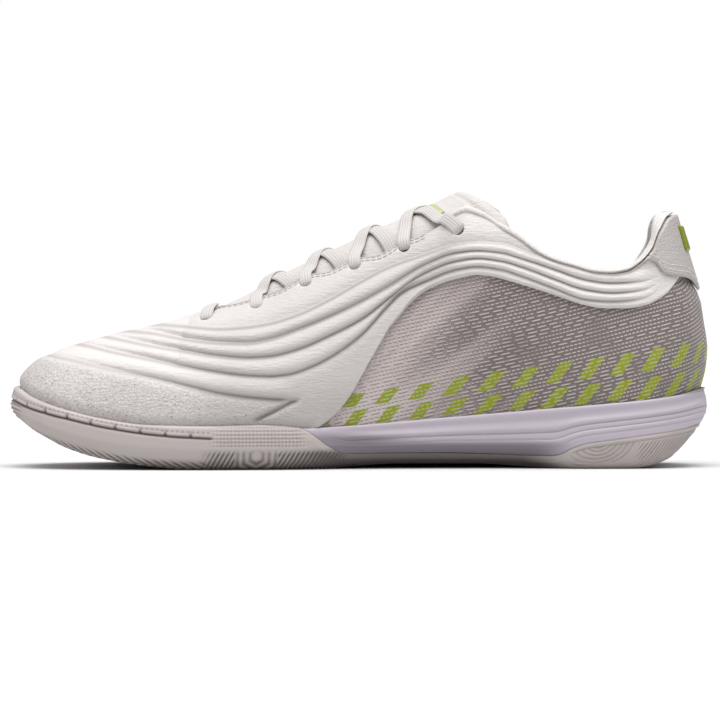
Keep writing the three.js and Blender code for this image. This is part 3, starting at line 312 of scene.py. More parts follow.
class Last:
    """The last in millimetres: outline, heights, section curves and the leather's relief."""

    def __init__(self, sizes):
        self.length = sizes.shoe_length / MM
        self.ball = sizes.ball_width / MM
        self.heel = sizes.heel_width / MM
        self.heel_height = sizes.heel_height / MM
        self.instep = sizes.instep_height / MM
        self.ball_stack = sizes.ball_stack / MM
        self.knit_wall = sizes.knit_wall / MM
        self.leather_wall = sizes.leather_wall / MM
        self.rib_relief = sizes.rib_relief / MM
        vamp = sizes.vamp_height / MM
        heel_stack = sizes.heel_stack / MM
        width = np.where(SECTIONS[:, 1] > 0, self.heel, self.ball)
        medial = np.stack([SECTIONS[:, 0] * self.length, -SECTIONS[:, 2] * width], 1)
        lateral = np.stack([SECTIONS[:, 0] * self.length, SECTIONS[:, 3] * width], 1)
        self.loop = np.vstack([medial, lateral[1:-1][::-1]])
        after = np.roll(self.loop, -1, axis=0) - self.loop
        self.knots = np.sqrt(np.linalg.norm(after, axis=1))
        rate = after / self.knots[:, None]
        before = np.roll(self.knots, 1)[:, None]
        both = before + self.knots[:, None]
        self.tangents = (np.roll(rate, 1, axis=0) * self.knots[:, None] + rate * before) / both
        number = np.arange(LAST_SECTION + 1)
        columns = {"along": 0, "crest_at": 4, "flare": 5, "rise": 6, "roof": 7, "reach": 8}
        self.column = {n: curve(np.stack([number, SECTIONS[:, c]], 1)) for n, c in columns.items()}
        self.rim_front = curve(RIM_FRONT, self.ball_stack)
        self.rim_back = curve(RIM_BACK, heel_stack)
        self.tread = curve(TREAD, self.ball_stack)
        self.bed_front = curve(FOOTBED_FRONT, sizes.footbed_ball / MM)
        self.bed_back = curve(FOOTBED_BACK, sizes.footbed_heel / MM)
        self.seam = curve(SOLE_SEAM, self.ball_stack)
        self.groove = curve(LIP_GROOVE, self.ball_stack)
        self.crest = curve(CREST, vamp)
        self.throat_edge = curve(THROAT_EDGE, self.instep)
        self.collar = curve(COLLAR, self.heel_height)
        self.collar_drop = curve(COLLAR_DROP)
        self.open_front = curve(OPEN_FRONT, self.ball)
        self.open_back = curve(OPEN_BACK, self.heel)
        self.axis = curve(AXIS, self.ball)
        self.leather_edge = curve(LEATHER_EDGE, self.heel_height)
        self.rib_lines = [curve(points, self.heel_height) for points in RIB_VALLEYS]
        self.notch = curve(NOTCH, self.heel_height)
        self.tab_edge = curve(TAB_EDGE, self.heel_height)
        self.tongue_line = curve(TONGUE_LINE, self.instep)
        self.tongue_half = curve(TONGUE_HALF, self.ball)
        self.tongue_side = curve(TONGUE_SIDE, self.instep)
        self.tuck = curve(WAIST_TUCK)
        self.wall_inset = curve(WALL_INSET)
        self.fine = np.linspace(0, LAST_SECTION, 1701)
        self.travel = {side: path_length(self.plan(self.fine, side)[0]) for side in (MEDIAL, LATERAL)}

    def along(self, k):
        return self.column["along"](k)

    def rim(self, along):
        return np.where(along < SOLE_SPLIT, self.rim_front(along), self.rim_back(along))

    def bed(self, along):
        return np.where(along < SOLE_SPLIT, self.bed_front(along), self.bed_back(along))

    def open_half(self, along):
        return np.where(along < OPEN_SPLIT, self.open_front(along), self.open_back(along))

    def top_height(self, along, side):
        collar = self.collar(along) - np.where(side > 0, self.collar_drop(along), 0)
        back = np.where(along <= THROAT_END, self.throat_edge(along), collar)
        return np.where(along <= THROAT_START, self.crest(along), back)

    def plan(self, k, side):
        """Point on the sole's outline at section number k and its outward direction.

        A cubic Hermite curve between the sections' points, with chord roots as knot spacing.
        """
        n = len(self.loop)
        at = np.where(side < 0, k, n - k)
        i = np.floor(at).astype(int)
        f = (at - i)[..., None]
        g = 1 - f
        a, b = self.loop[i % n], self.loop[(i + 1) % n]
        h = self.knots[i % n][..., None]
        m0, m1 = self.tangents[i % n], self.tangents[(i + 1) % n]
        point = a * (1 + 2 * f) * g * g + b * f * f * (3 - 2 * f) + h * (m0 * f * g * g - m1 * f * f * g)
        speed = (b - a) * 6 * f * g + h * (m0 * (1 - 4 * f + 3 * f * f) + m1 * (3 * f * f - 2 * f))
        return point, unit(np.stack([speed[..., 1], -speed[..., 0]], -1))

    def inset(self, k, side, inset, z):
        """The outline moved inwards by a distance, at a height."""
        point, out = self.plan(k, side)
        flat = point - out * np.asarray(inset)[..., None]
        return np.concatenate([flat, np.broadcast_to(z, flat.shape[:-1])[..., None]], -1)

    def section(self, k, side):
        """Control points of the section curves at k: footbed, flare, roof and top."""
        foot = self.inset(k, side, RIM_WALL + CLEARANCE, self.bed(self.along(k)) + CLEARANCE)
        at = self.column["crest_at"](k)
        across = self.axis(at) + side * self.open_half(at)
        top = np.stack([at * self.length, across, self.top_height(at, side)], -1)
        away = unit((foot - top)[..., :2])
        span = np.linalg.norm(foot - top, axis=-1)
        flare, roof = np.radians(self.column["flare"](k)), np.radians(self.column["roof"](k))
        near = 0.004
        front = np.minimum(at, THROAT_START - near)
        rate = (self.crest(front + near) - self.crest(front - near)) / (2 * near * self.length)
        slope = rate * (1 - smoothstep(at, THROAT_START, THROAT_START + 0.06))
        low = np.concatenate([away * np.sin(flare)[..., None], np.cos(flare)[..., None]], -1)
        rise = away[..., 0] * np.sin(roof) * slope - np.cos(roof)
        high = np.concatenate([away * np.sin(roof)[..., None], rise[..., None]], -1)
        first = foot + low * (self.column["rise"](k) * span)[..., None]
        second = top + high * (self.column["reach"](k) * span)[..., None]
        return np.stack([foot, first, second, top], axis=-2)

    def share_at(self, controls, line):
        """Share of each section curve where it first rises above a line of the side view, by halving."""
        def above(t):
            p = bezier(controls, t)
            return p[..., 2] - line(p[..., 0] / self.length)

        low = np.zeros(controls.shape[:-2])
        high = np.ones_like(low)
        starts, ends = above(low) >= 0, above(high) <= 0
        for _ in range(24):
            middle = (low + high) / 2
            under = above(middle) < 0
            low, high = np.where(under, middle, low), np.where(under, high, middle)
        return np.where(starts, 0, np.where(ends, 1, high))

    def place(self, k, side, t, lift=0):
        """Points of the last at section k and share t, moved out along the surface's normal."""
        k, side, t = np.broadcast_arrays(np.asarray(k, float), side, np.asarray(t, float))
        ahead = bezier(self.section(np.minimum(k + 0.1, LAST_SECTION), side), t)
        behind = bezier(self.section(np.maximum(k - 0.1, 0), side), t)
        controls = self.section(k, side)
        upward = bezier(controls, np.minimum(t + 0.01, 1)) - bezier(controls, np.minimum(t + 0.01, 1) - 0.02)
        normal = unit(np.cross(ahead - behind, upward) * -side[..., None])
        return bezier(controls, t) + normal * np.asarray(lift)[..., None], normal

    def at_crest(self, along):
        """Section number whose top lies at a share of the length."""
        return np.interp(along, self.column["crest_at"](self.fine), self.fine)

    def at_height(self, k, side, z):
        """Share of the section curves at which they pass a height."""
        return self.share_at(self.section(k, side), lambda _: z)

    def even_rows(self, side, count, margin=0.0):
        """Section numbers at even steps along one side of the outline, from toe to heel."""
        travel = self.travel[side]
        return np.interp(np.linspace(margin, travel[-1] - margin, count), travel, self.fine)

    def distance(self, k, side):
        """Distance from the toe along the outline."""
        medial, lateral = (np.interp(k, self.fine, self.travel[which]) for which in (MEDIAL, LATERAL))
        return np.where(side < 0, medial, lateral)

    def valleys(self, along):
        """Heights of the five rib valleys, lowest first."""
        first, second, third, fourth, fifth = (line(along) for line in self.rib_lines)
        lowest = np.minimum(fifth, fourth - 1)
        return np.stack([lowest, fourth, third, second, first], -1)

    def relief(self, points):
        """Relief of the leather, and closeness to a valley, which the leather paints as shade.

        Between two valleys, at share q of the way up, the rib is sin(pi q^0.6): it stands out sharply
        over its lower valley and eases into the upper one. Outside the ribs lies a low flat panel.
        """
        along, z = points[..., 0] / self.length, points[..., 2]
        levels = self.valleys(along)
        fade = 1 - smoothstep(along, 0.86, 0.93)
        low, high = levels[..., :-1], levels[..., 1:]
        gap = np.maximum(high - low, 0.5)
        q = (z[..., None] - low) / gap
        inside = (q >= 0) & (q <= 1)
        pillows = np.where(inside, np.sin(np.pi * np.clip(q, 0, 1) ** 0.6) ** 0.9, 0)
        flat = smoothstep(along, NOTCH[-1][0] - 0.015, NOTCH[-1][0])
        pillows *= (0.2 + 0.8 * smoothstep(along, 0.06, 0.24))[..., None]
        pillows[..., 0] *= 1 - flat
        below = np.where(flat > 0.5, levels[..., 1], levels[..., 0]) - z
        away = np.maximum(z - levels[..., 4], below)
        panel = np.where(away > 0, 0.6 * (1 - (1 - np.clip(away / 5, 0, 1)) ** 2), 0)
        nearest = np.abs(z[..., None] - levels)
        nearest[..., 0] += 20 * flat
        start, end = NOTCH[0][0], NOTCH[-1][0]
        notch = bump(z - self.notch(along), 0, 0.9)
        notch = notch * window(along, start - 0.01, start + 0.004, end, end + 0.006)
        # Closeness to a valley or the notch: the share of painted shade in the creases.
        painted_hollow_shade = np.maximum(bump(nearest.min(-1), 0, 0.8), notch)
        height = pillows.max(-1) + panel - 0.9 * notch
        return self.rib_relief * fade * height, fade * painted_hollow_shade


def fill(marks, counts):
    """Columns from mark to mark: counts[i] even steps between mark i and mark i + 1, for every row."""
    parts = [
        marks[:, i:i + 1] + (marks[:, i + 1:i + 2] - marks[:, i:i + 1]) * np.linspace(0, 1, n, endpoint=False)
        for i, n in enumerate(counts)
    ]
    return np.hstack(parts + [marks[:, -1:]])


def spread(marks, gap):
    """Marks pushed at least a gap apart, first upwards from the lowest and then down from the highest."""
    steps = gap * np.arange(marks.shape[1])
    marks = np.maximum.accumulate(marks - steps, axis=1) + steps
    top = np.minimum(marks[:, -1:], 1)
    return np.minimum(marks, top - gap * np.arange(marks.shape[1])[::-1])


def grid_normals(points, wrap_rows=False):
    """Unit normals of a grid: the cross product of the differences along rows and along columns."""
    if wrap_rows:
        down = np.roll(points, -1, axis=0) - np.roll(points, 1, axis=0)
    else:
        down = np.gradient(points, axis=0)
    return unit(np.cross(down, np.gradient(points, axis=1)))


def facing(points, axis):
    """Normals of a grid, turned so that on the whole they point along an axis."""
    normals = grid_normals(points)
    return normals * np.sign(normals[..., axis].sum())


def link(name, data):
    """A new object of the scene that holds a mesh, a lamp or a camera."""
    made = bpy.data.objects.new(name, data)
    bpy.context.scene.collection.objects.link(made)
    return made


def grid_faces(index, wrap_rows=False, wrap_columns=False):
    """Quads between neighbouring places of a grid of vertex numbers."""
    if wrap_rows:
        index = np.vstack([index, index[:1]])
    if wrap_columns:
        index = np.hstack([index, index[:, :1]])
    corners = (index[:-1, :-1], index[1:, :-1], index[1:, 1:], index[:-1, 1:])
    return np.stack(corners, -1).reshape(-1, 4)


def volume(points, faces):
    """Signed volume of a closed mesh: a sixth of the sum of a . (b x c) over its triangles."""
    a, b, c, d = (points[faces[:, i]] for i in range(4))
    return (np.einsum("ij,ij->i", a, np.cross(b, c)) + np.einsum("ij,ij->i", a, np.cross(c, d))).sum() / 6


def add_piece(name, points, faces, uv=None, attributes=None):
    """Puts a closed mesh into the scene, in metres and in the frame.

    A quad whose neighbouring corners are the same vertex becomes a triangle or is dropped, and all
    faces are turned when the volume is negative, so that they point outwards.
    """
    points = points.reshape(-1, 3)
    if volume(points, faces) < 0:
        faces = faces[:, ::-1]
    keep = faces != np.roll(faces, -1, axis=1)
    keep &= (keep.sum(1) >= 3)[:, None]
    sizes = keep.sum(1)
    sizes = sizes[sizes >= 3]
    used, corners = np.unique(faces[keep], return_inverse=True)
    mesh = bpy.data.meshes.new(name)
    mesh.vertices.add(len(used))
    mesh.vertices.foreach_set("co", ((points[used] + (ORIGIN_X, 0, 0)) * MM).ravel())
    mesh.loops.add(len(corners))
    mesh.loops.foreach_set("vertex_index", corners.ravel())
    mesh.polygons.add(len(sizes))
    mesh.polygons.foreach_set("loop_start", np.concatenate([[0], np.cumsum(sizes)[:-1]]))
    mesh.update(calc_edges=True)
    if uv is not None:
        layer = mesh.uv_layers.new(name="Pattern")
        layer.data.foreach_set("uv", uv.reshape(-1, 2)[used][corners.ravel()].ravel())
    for label, values in (attributes or {}).items():
        field = mesh.attributes.new(label, "FLOAT", "POINT")
        field.data.foreach_set("value", values.ravel()[used])
    mesh.shade_smooth()
    return link(name, mesh)


def dress(piece, nodes, material):
    """Lets a finished piece ride on the shoe, stand for its nodes and take its finish."""
    piece.data.materials.clear()
    piece.data.materials.append(material)
    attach(piece, "root")
    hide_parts(*nodes)
    return piece


def slab(name, upper, lower, uv=None, attributes=None):
    """A closed plate between two grids of the same shape: both faces, both long sides and both ends."""
    rows, columns = upper.shape[:2]
    top = np.arange(rows * columns).reshape(rows, columns)
    ring = np.hstack([top, top[:, ::-1] + rows * columns])
    ends = [np.stack([ring[i, :columns], ring[i, columns:][::-1]]) for i in (0, -1)]
    faces = [grid_faces(ring, wrap_columns=True), grid_faces(ends[0]), grid_faces(ends[1])[:, ::-1]]
    points = np.concatenate([upper, lower]).reshape(-1, 3)
    both = {label: np.concatenate([values, values]) for label, values in (attributes or {}).items()}
    pattern = None if uv is None else np.concatenate([uv, uv])
    return add_piece(name, points, np.vstack(faces), pattern, both)


def tube(rings, uv=None):
    """Points and faces of a solid through closed rings, with its two ends closed by a fan each."""
    count, around = rings.shape[:2]
    index = np.arange(count * around).reshape(count, around)
    first, final = count * around, count * around + 1
    points = np.vstack([rings.reshape(-1, 3), rings[0].mean(0), rings[-1].mean(0)])
    ahead = np.roll(index, -1, axis=1)
    start = np.stack([np.full(around, first), index[0], ahead[0], ahead[0]], 1)
    end = np.stack([np.full(around, final), ahead[-1], index[-1], index[-1]], 1)
    return points, np.vstack([grid_faces(index, wrap_columns=True), start, end])


def join_solids(solids):
    """Several (points, faces) solids as one, with the vertex numbers moved on."""
    starts = np.concatenate([[0], np.cumsum([len(points) for points, _ in solids])[:-1]])
    faces = [faces + start for (_, faces), start in zip(solids, starts)]
    return np.vstack([points for points, _ in solids]), np.vstack(faces)


def capsules(centres, directions, normals, length, width, height):
    """Many small stitches: a ring profile swept along each direction, thinner towards both ends."""
    u = np.array([-0.5, -0.36, 0, 0.36, 0.5])
    thick = np.array([0.25, 0.85, 1, 0.85, 0.25])
    turn = np.linspace(0, 2 * np.pi, 6, endpoint=False)
    across = np.cross(directions, normals)
    ring_points = (
        centres[:, None, None] + directions[:, None, None] * (u * length)[None, :, None, None]
        + across[:, None, None] * (thick[:, None] * np.cos(turn) * width / 2)[None, :, :, None]
        + normals[:, None, None] * (thick[:, None] * np.sin(turn) * height / 2)[None, :, :, None]
    )
    base = tube(ring_points[0])[1]
    ends = np.stack([ring_points[:, 0].mean(1), ring_points[:, -1].mean(1)], 1)
    points = np.concatenate([ring_points.reshape(len(centres), -1, 3), ends], axis=1)
    faces = base[None] + np.arange(len(centres))[:, None, None] * points.shape[1]
    return points.reshape(-1, 3), faces.reshape(-1, 4)


def stitch_row(line, ups, margin, pitch, ahead):
    """Centres, directions and upward vectors of stitches at even steps of a line, a margin from its ends."""
    travel = path_length(line)
    wanted = np.arange(margin, travel[-1] - margin, pitch)
    centres = read_path(wanted, travel, line)
    directions = unit(read_path(wanted + ahead, travel, line) - centres)
    return centres, directions, unit(read_path(wanted, travel, ups))


def add_stitches(name, rows, width, height, cad_node, finish):
    """Rows of stitches as one piece."""
    points, faces = capsules(*(np.vstack(part) for part in zip(*rows)), STITCH_LENGTH, width, height)
    dress(add_piece(name, points, faces), [cad_node], finish)


def smooth_path(points, count):
    """Catmull-Rom curve through a few points, read at a number of even steps of its length."""
    points = np.asarray(points, float)
    ends = np.vstack([2 * points[0] - points[1], points, 2 * points[-1] - points[-2]])
    fine = np.linspace(0, len(points) - 1 - TINY, 40 * len(points))
    i = np.floor(fine).astype(int)
    f = (fine - i)[:, None]
    a, b, c, d = (ends[i + j] for j in range(4))
    square, cube = 2 * a - 5 * b + 4 * c - d, 3 * b - a - 3 * c + d
    line = 0.5 * (2 * b + (c - a) * f + square * f ** 2 + cube * f ** 3)
    travel = path_length(line)
    return read_path(np.linspace(0, travel[-1], count), travel, line)


def rgba(colour):
    """Linear colour with full alpha, from a hex value or three channels."""
    return (*(hex_colour(colour) if isinstance(colour, str) else colour), 1.0)


def node(tree, kind, inputs=None, out=0, **settings):
    """Adds one node with its settings, sets or links its inputs, and gives back one of its outputs."""
    made = tree.nodes.new(kind)
    for name, value in settings.items():
        setattr(made, name, value)
    for key, value in (inputs or {}).items():
        if isinstance(value, bpy.types.NodeSocket):
            tree.links.new(value, made.inputs[key])
        else:
            made.inputs[key].default_value = value
    return made.outputs[out] if made.outputs else made


class Finish:
    """One node material, with short forms of the nodes that the finishes share."""

    def __init__(self, name):
        self.material = bpy.data.materials.new(name)
        self.material.use_nodes = True
        self.material.node_tree.nodes.clear()

    def add(self, kind, inputs=None, out=0, **settings):
        return node(self.material.node_tree, "ShaderNode" + kind, inputs, out, **settings)

    def place(self):
        """Object coordinates."""
        return self.add("TexCoord", out=3)

    def pattern(self):
        """Millimetres along and up a piece, from its UV layer."""
        return self.add("UVMap", uv_map="Pattern")

    def attribute(self, name):
        return self.add("Attribute", out=2, attribute_name=name)

    def math(self, operation, *values):
        return self.add("Math", dict(enumerate(values)), operation=operation)

    def product(self, first, *others):
        for value in others:
            first = self.math("MULTIPLY", first, value)
        return first

    def centred(self, value):
        """Place within a unit step, from -0.5 to 0.5."""
        return self.math("SUBTRACT", self.math("FRACT", value), 0.5)

    def span(self, value, low, high, start=0.0, end=1.0):
        """Start below low, end above high, and a straight line between them."""
        return self.add("MapRange", {0: value, 1: low, 2: high, 3: start, 4: end})

    def noise(self, vector, scale, detail, distortion=0.0):
        inputs = {"Vector": vector, "Scale": scale, "Detail": detail, "Distortion": distortion}
        return self.add("TexNoise", inputs)

    def grain(self, size, detail):
        """Noise in object coordinates with grains of a size in millimetres."""
        return self.noise(self.place(), 1 / (size * MM), detail)

    def mix(self, share, *colours):
        """Mix of two colours, each a hex value, three channels or a socket."""
        first, second = (c if isinstance(c, bpy.types.NodeSocket) else rgba(c) for c in colours)
        return self.add("Mix", {0: share, 6: first, 7: second}, out=2, data_type="RGBA")

    def surface(self, colour, roughness, height=None, strength=0.5, distance=0.2, **sockets):
        """Ends the material: colour, roughness, a bump height in millimetres, and uniform sockets."""
        inputs = {"Base Color": colour, "Roughness": roughness}
        if height is not None:
            raised = {"Height": height, "Strength": strength, "Distance": distance * MM}
            inputs["Normal"] = self.add("Bump", raised)
        inputs.update({label.replace("_", " "): value for label, value in sockets.items()})
        self.add("OutputMaterial", {"Surface": self.add("BsdfPrincipled", inputs)})
        return self.material


def leather_material(name, lit, shade, grain_mm, specks):
    """Full-grain leather, embossed and finished with a satin topcoat.

    The eye sees a fine pebble, painted shade in the creases and wherever a piece asks for it, and on the toe
    panel a coarser grain with specks.
    """
    made = Finish(name)
    place = made.place()
    pebble = made.add("TexVoronoi", {"Vector": place, "Scale": 1 / (grain_mm * MM)}, feature="SMOOTH_F1")
    fine = made.grain(0.9, 3)
    turn = (0, math.radians(24), 0)
    folds = made.add("Mapping", {"Vector": place, "Rotation": turn, "Scale": (0.2, 0.5, 0.95)})
    wrinkle = made.noise(folds, 1.25 / MM, 3, 0.4)
    grain = made.attribute("grain")
    tone = made.span(made.grain(14, 2), 0.35, 0.65, 0.0, 0.1)
    sandy = made.math("MULTIPLY_ADD", made.span(fine, 0.35, 0.65, 0.2, 0.52), grain, tone)
    # Painted shade from the attribute, or the toe panel's darker grain and a random tone, mixes the lit
    # colour towards the shade colour.
    base = made.mix(made.math("MAXIMUM", made.attribute("painted_shade"), sandy), lit, shade)
    dots = made.add("TexVoronoi", {"Vector": place, "Scale": 1 / (2.3 * MM)})
    share = made.product(made.span(dots, 0.1, 0.2, 1.0, 0.0), grain, specks)
    colour = made.mix(share, base, "#7b7270")
    raised = made.math("MULTIPLY_ADD", pebble, 0.6, fine)
    coarse = made.math("MULTIPLY", raised, made.span(grain, 0, 1, 0.3, 1.6))
    height = made.math("MULTIPLY_ADD", wrinkle, 1.4, coarse)
    rough = made.span(fine, 0.3, 0.7, 0.45, 0.6)
    return made.surface(colour, rough, height, strength=0.7, distance=0.4, Specular_IOR_Level=0.4)


def knit_material(name, sizes):
    """Jacquard knit of polyester yarn with floated light threads and a woven-in lime band.

    The eye sees rows of dashes and dots that climb towards the heel, with a painted shadow under each, on a
    ground with painted light and shade in broad diagonal bands, darker towards the rear.
    """
    made = Finish(name)
    pattern = made.pattern()
    rows = made.add("Mapping", {"Vector": pattern, "Rotation": (0, 0, -math.radians(sizes.thread_climb))})
    run, rise = (made.add("SeparateXYZ", {0: rows}, out=axis) for axis in (0, 1))
    course = made.math("DIVIDE", rise, sizes.thread_pitch / MM)
    number = made.math("FLOOR", course)
    shift = made.add("TexWhiteNoise", {"W": number}, noise_dimensions="1D")
    turn = (0, 0, math.radians(44))
    bands = made.add("Mapping", {"Vector": pattern, "Rotation": turn, "Scale": (80, 9, 1)},
                     vector_type="TEXTURE")
    pleats = made.noise(bands, 1.0, 1.5)
    kind = made.math("MULTIPLY_ADD", made.math("PINGPONG", number, 2.0), 0.12, pleats)
    stitch = made.add("Mix", {0: made.span(kind, 0.6, 0.61), 2: 5.2, 3: 1.6}, data_type="FLOAT")
    length = made.math("MULTIPLY_ADD", shift, 0.6, stitch)
    moved = made.math("MULTIPLY_ADD", shift, 7.0, made.math("DIVIDE", run, length))
    dash = made.span(made.math("ABSOLUTE", made.centred(moved)), 0.3, 0.39, 1.0, 0.0)
    aside = made.centred(course)
    line = made.span(made.math("ABSOLUTE", aside), 0.1, 0.24, 1.0, 0.0)
    shown = made.span(made.noise(rows, 0.07, 2), 0.36, 0.5, 0.5, 0.9)
    thread = made.product(dash, line, shown)
    weave = made.noise(pattern, 2.2, 2)
    # The ground: painted light and shade in broad diagonal bands like pleats, the weave's noise, and a tone
    # that darkens towards the heel.
    rear = made.span(run, 150.0, 290.0, 0.56, -0.85)
    lit = made.math("ADD", made.math("ADD", pleats, weave), rear)
    ground = made.mix(made.span(lit, 0.75, 1.25), "#756b6a", "#c6bab8")
    # Painted shadow: a dark line just under each light dash.
    painted_thread_shadow = made.span(made.math("ABSOLUTE", made.math("ADD", aside, 0.34)), 0.05, 0.16, 0.7, 0.0)
    ground = made.mix(made.product(painted_thread_shadow, dash), ground, "#564c4b")
    lime = made.attribute("lime")
    skew, height = (made.add("SeparateXYZ", {0: pattern}, out=axis) for axis in (0, 1))
    pitch = sizes.bar_pitch / MM
    lean = made.math("MULTIPLY_ADD", height, -0.75, skew)
    step = made.math("MULTIPLY_ADD", made.math("GREATER_THAN", lime, 0.5), pitch / 2, lean)
    bar = made.math("LESS_THAN", made.math("FRACT", made.math("DIVIDE", step, pitch)), 0.42)
    solid = made.math("SUBTRACT", 1.0, made.math("COMPARE", lime, 0.5, 0.07))
    zone = made.product(made.math("GREATER_THAN", lime, 0.001), made.math("LESS_THAN", lime, 0.999))
    printed = made.product(bar, zone, solid)
    cloth = made.mix(printed, ground, sizes.lime)
    yarn = made.mix(thread, cloth, made.mix(printed, "#c4bab6", "#b2b68a"))
    colour = made.mix(made.attribute("inner"), yarn, "#cfcac7")
    raised = made.math("MULTIPLY_ADD", weave, 0.4, thread)
    return made.surface(colour, 0.82, raised, strength=0.6, distance=0.3, Sheen_Weight=0.15)


def rubber_material(name, lit, shade):
    """Non-marking gum rubber, compression moulded: a dull skin with a faint bloom, with painted shade in its
    grooves and where it turns under.
    """
    made = Finish(name)
    fine = made.grain(0.7, 3)
    tone = made.span(made.grain(20, 2), 0.3, 0.7, 0.0, 0.2)
    # Painted shade from the attribute, or a random tone, mixes the lit colour towards the shade colour.
    colour = made.mix(made.math("MAXIMUM", made.attribute("painted_hollow_shade"), tone), lit, shade)
    return made.surface(colour, made.span(fine, 0.3, 0.7, 0.55, 0.7), fine, strength=0.25, distance=0.1)


def cloth_material(name, lit, shade, pitch_mm):
    """Brushed polyester tricot: a soft matt face with a faint wale and a light bloom at grazing angles."""
    made = Finish(name)
    fine = made.grain(pitch_mm, 4)
    colour = made.mix(made.span(fine, 0.3, 0.7), shade, lit)
    return made.surface(colour, 0.9, fine, strength=0.5, distance=0.25, Sheen_Weight=0.3)


def lace_material(name):
    """Flat woven polyester lace: fine ribs along its length, crossed by the weft."""
    made = Finish(name)
    ribs, weft = (
        made.add("TexWave", {"Vector": made.pattern(), "Scale": scale, "Distortion": distortion},
                 bands_direction=direction, wave_profile="SIN")
        for scale, distortion, direction in ((0.27, 0.2, "Y"), (0.3, 0.3, "X"))
    )
    both = made.math("MULTIPLY_ADD", weft, 0.35, ribs)
    # The colour follows the weave's height: painted shade, darker between the ribs.
    colour = made.mix(made.span(both, 0.0, 1.2), "#b6b0ae", "#cbc6c4")
    return made.surface(colour, 0.8, both, strength=0.4, distance=0.25, Sheen_Weight=0.2)


def foam_material(name):
    """EVA foam, moulded with a lilac skin: satin and even in colour apart from painted shade in its grooves
    and low down, with a whisper of orange peel.
    """
    made = Finish(name)
    # Painted shade from the attribute mixes the lilac towards a dark shade colour.
    colour = made.mix(made.attribute("painted_hollow_shade"), "#b9b0bb", "#6a6068")
    return made.surface(colour, 0.5, made.grain(1.2, 2), strength=0.12, distance=0.1)


def print_material(name, colour):
    """Silicone transfer print: smooth, saturated and a little glossy."""
    made = Finish(name)
    fine = made.grain(0.8, 2)
    mixed = made.mix(made.span(fine, 0.3, 0.7), [0.8 * c for c in colour], colour)
    return made.surface(mixed, 0.4, fine, strength=0.15, distance=0.08)


def loop_rows(last, count):
    """Section numbers and sides of the rows round the shoe, evenly spaced along the outline's inner side.

    The rows run up the medial side and back down the lateral one, with the same section numbers,
    and one of them is the section where the throat starts.
    """
    k = last.even_rows(MEDIAL, count)
    throat = last.at_crest(THROAT_START)
    k[np.abs(k - throat).argmin()] = throat
    side = np.concatenate([np.full(count, MEDIAL), np.full(count - 2, LATERAL)])
    return np.concatenate([k, k[::-1][1:-1]]), side, count


def shell(name, last, rows, outer_t, inner_t, outer_lift, inner_lift, uv=None, attributes=None):
    """A wall on the last, as one closed mesh.

    Outer and inner face are grids of section shares t, moved along the normals of the last. They are
    joined along the bottom and along the throat and collar. Over the vamp both sides meet at the crest,
    where the lateral rows take the medial rows' vertices.
    """
    k, side, count = rows
    controls = last.section(k, side)[:, None]
    throat = last.at_crest(THROAT_START)
    closed = k <= throat + TINY
    other = np.arange(len(k))
    other[1:count - 1] = len(k) - np.arange(1, count - 1)
    other[count:] = np.arange(count)[::-1][1:-1]
    grids = []
    for t, lift, at, turn in ((outer_t, outer_lift, -1, 1), (inner_t, inner_lift, 0, -1)):
        points = bezier(controls, t)
        normals = grid_normals(points, wrap_rows=True) * turn
        shared = unit(normals[:, at] + normals[other, at])
        normals[:, at] = np.where(closed[:, None], shared, normals[:, at])
        value = lift(points, t) if callable(lift) else np.full(t.shape, float(lift))
        grids.append(points + normals * value[..., None])
    outer = np.arange(outer_t.size).reshape(outer_t.shape)
    inner = outer_t.size + np.arange(inner_t.size).reshape(inner_t.shape)
    meet = np.flatnonzero(closed & (np.arange(len(k)) >= count))
    outer[meet, -1] = outer[other[meet], -1]
    inner[meet, 0] = inner[other[meet], 0]
    free = (k >= throat - TINY) & (np.roll(k, -1) >= throat - TINY)
    top, bottom = (grid_faces(np.stack(pair, 1), wrap_rows=True)
                   for pair in ((outer[:, -1], inner[:, 0]), (inner[:, -1], outer[:, 0])))
    faces = [grid_faces(outer, wrap_rows=True), grid_faces(inner, wrap_rows=True), top[free], bottom]
    points = np.vstack([grid.reshape(-1, 3) for grid in grids])
    extra = {label: np.concatenate([values(grid).ravel() for grid in grids])
             for label, values in (attributes or {}).items()}
    if uv is not None:
        uv = np.vstack([uv(grid).reshape(-1, 2) for grid in grids])
    return add_piece(name, points, np.vstack(faces), uv, extra)


def eyelet_places(last):
    """Centres and outward normals of the eyelets, medial ones first."""
    along = np.tile(EYELETS[:, 0], 2)
    z = np.tile(EYELETS[:, 1] * last.instep, 2)
    side = np.repeat([MEDIAL, LATERAL], len(EYELETS))
    k = last.at_crest(along)
    return last.place(k, side, last.at_height(k, side, z))


def cut_eyelets(last, piece, diameter):
    """Bores the twelve eyelets through a piece with round drills along the surface's normals."""
    centres, normals = eyelet_places(last)
    forward = unit(np.cross(np.cross(normals, [1.0, 0, 0]), normals))
    across = np.cross(normals, forward)
    turn = np.linspace(0, 2 * np.pi, 24, endpoint=False)[:, None]
    reach = np.array([-EYELET_REACH, EYELET_REACH])[:, None, None]
    solids = []
    for centre, normal, a, b in zip(centres, normals, forward, across):
        ring = centre + (a * np.cos(turn) + b * np.sin(turn)) * diameter / 2
        solids.append(tube(ring[None] + normal * reach))
    drill = add_piece("eyelet_drills", *join_solids(solids))
    cut = piece.modifiers.new("Eyelets", "BOOLEAN")
    cut.operation, cut.object, cut.solver = "DIFFERENCE", drill, "MANIFOLD"
    bpy.context.view_layer.objects.active = piece
    bpy.ops.object.modifier_apply(modifier=cut.name)
    bpy.data.objects.remove(drill)


def amount(label, text, default, **settings):
    """A number of the panel."""
    return bpy.props.FloatProperty(name=label, description=text, default=default, **settings)


def measure(label, text, default):
    """A length of the panel."""
    return amount(label, text, default, unit="LENGTH")


def angle(label, text, degrees):
    """An angle of the panel."""
    return amount(label, text, math.radians(degrees), subtype="ANGLE")


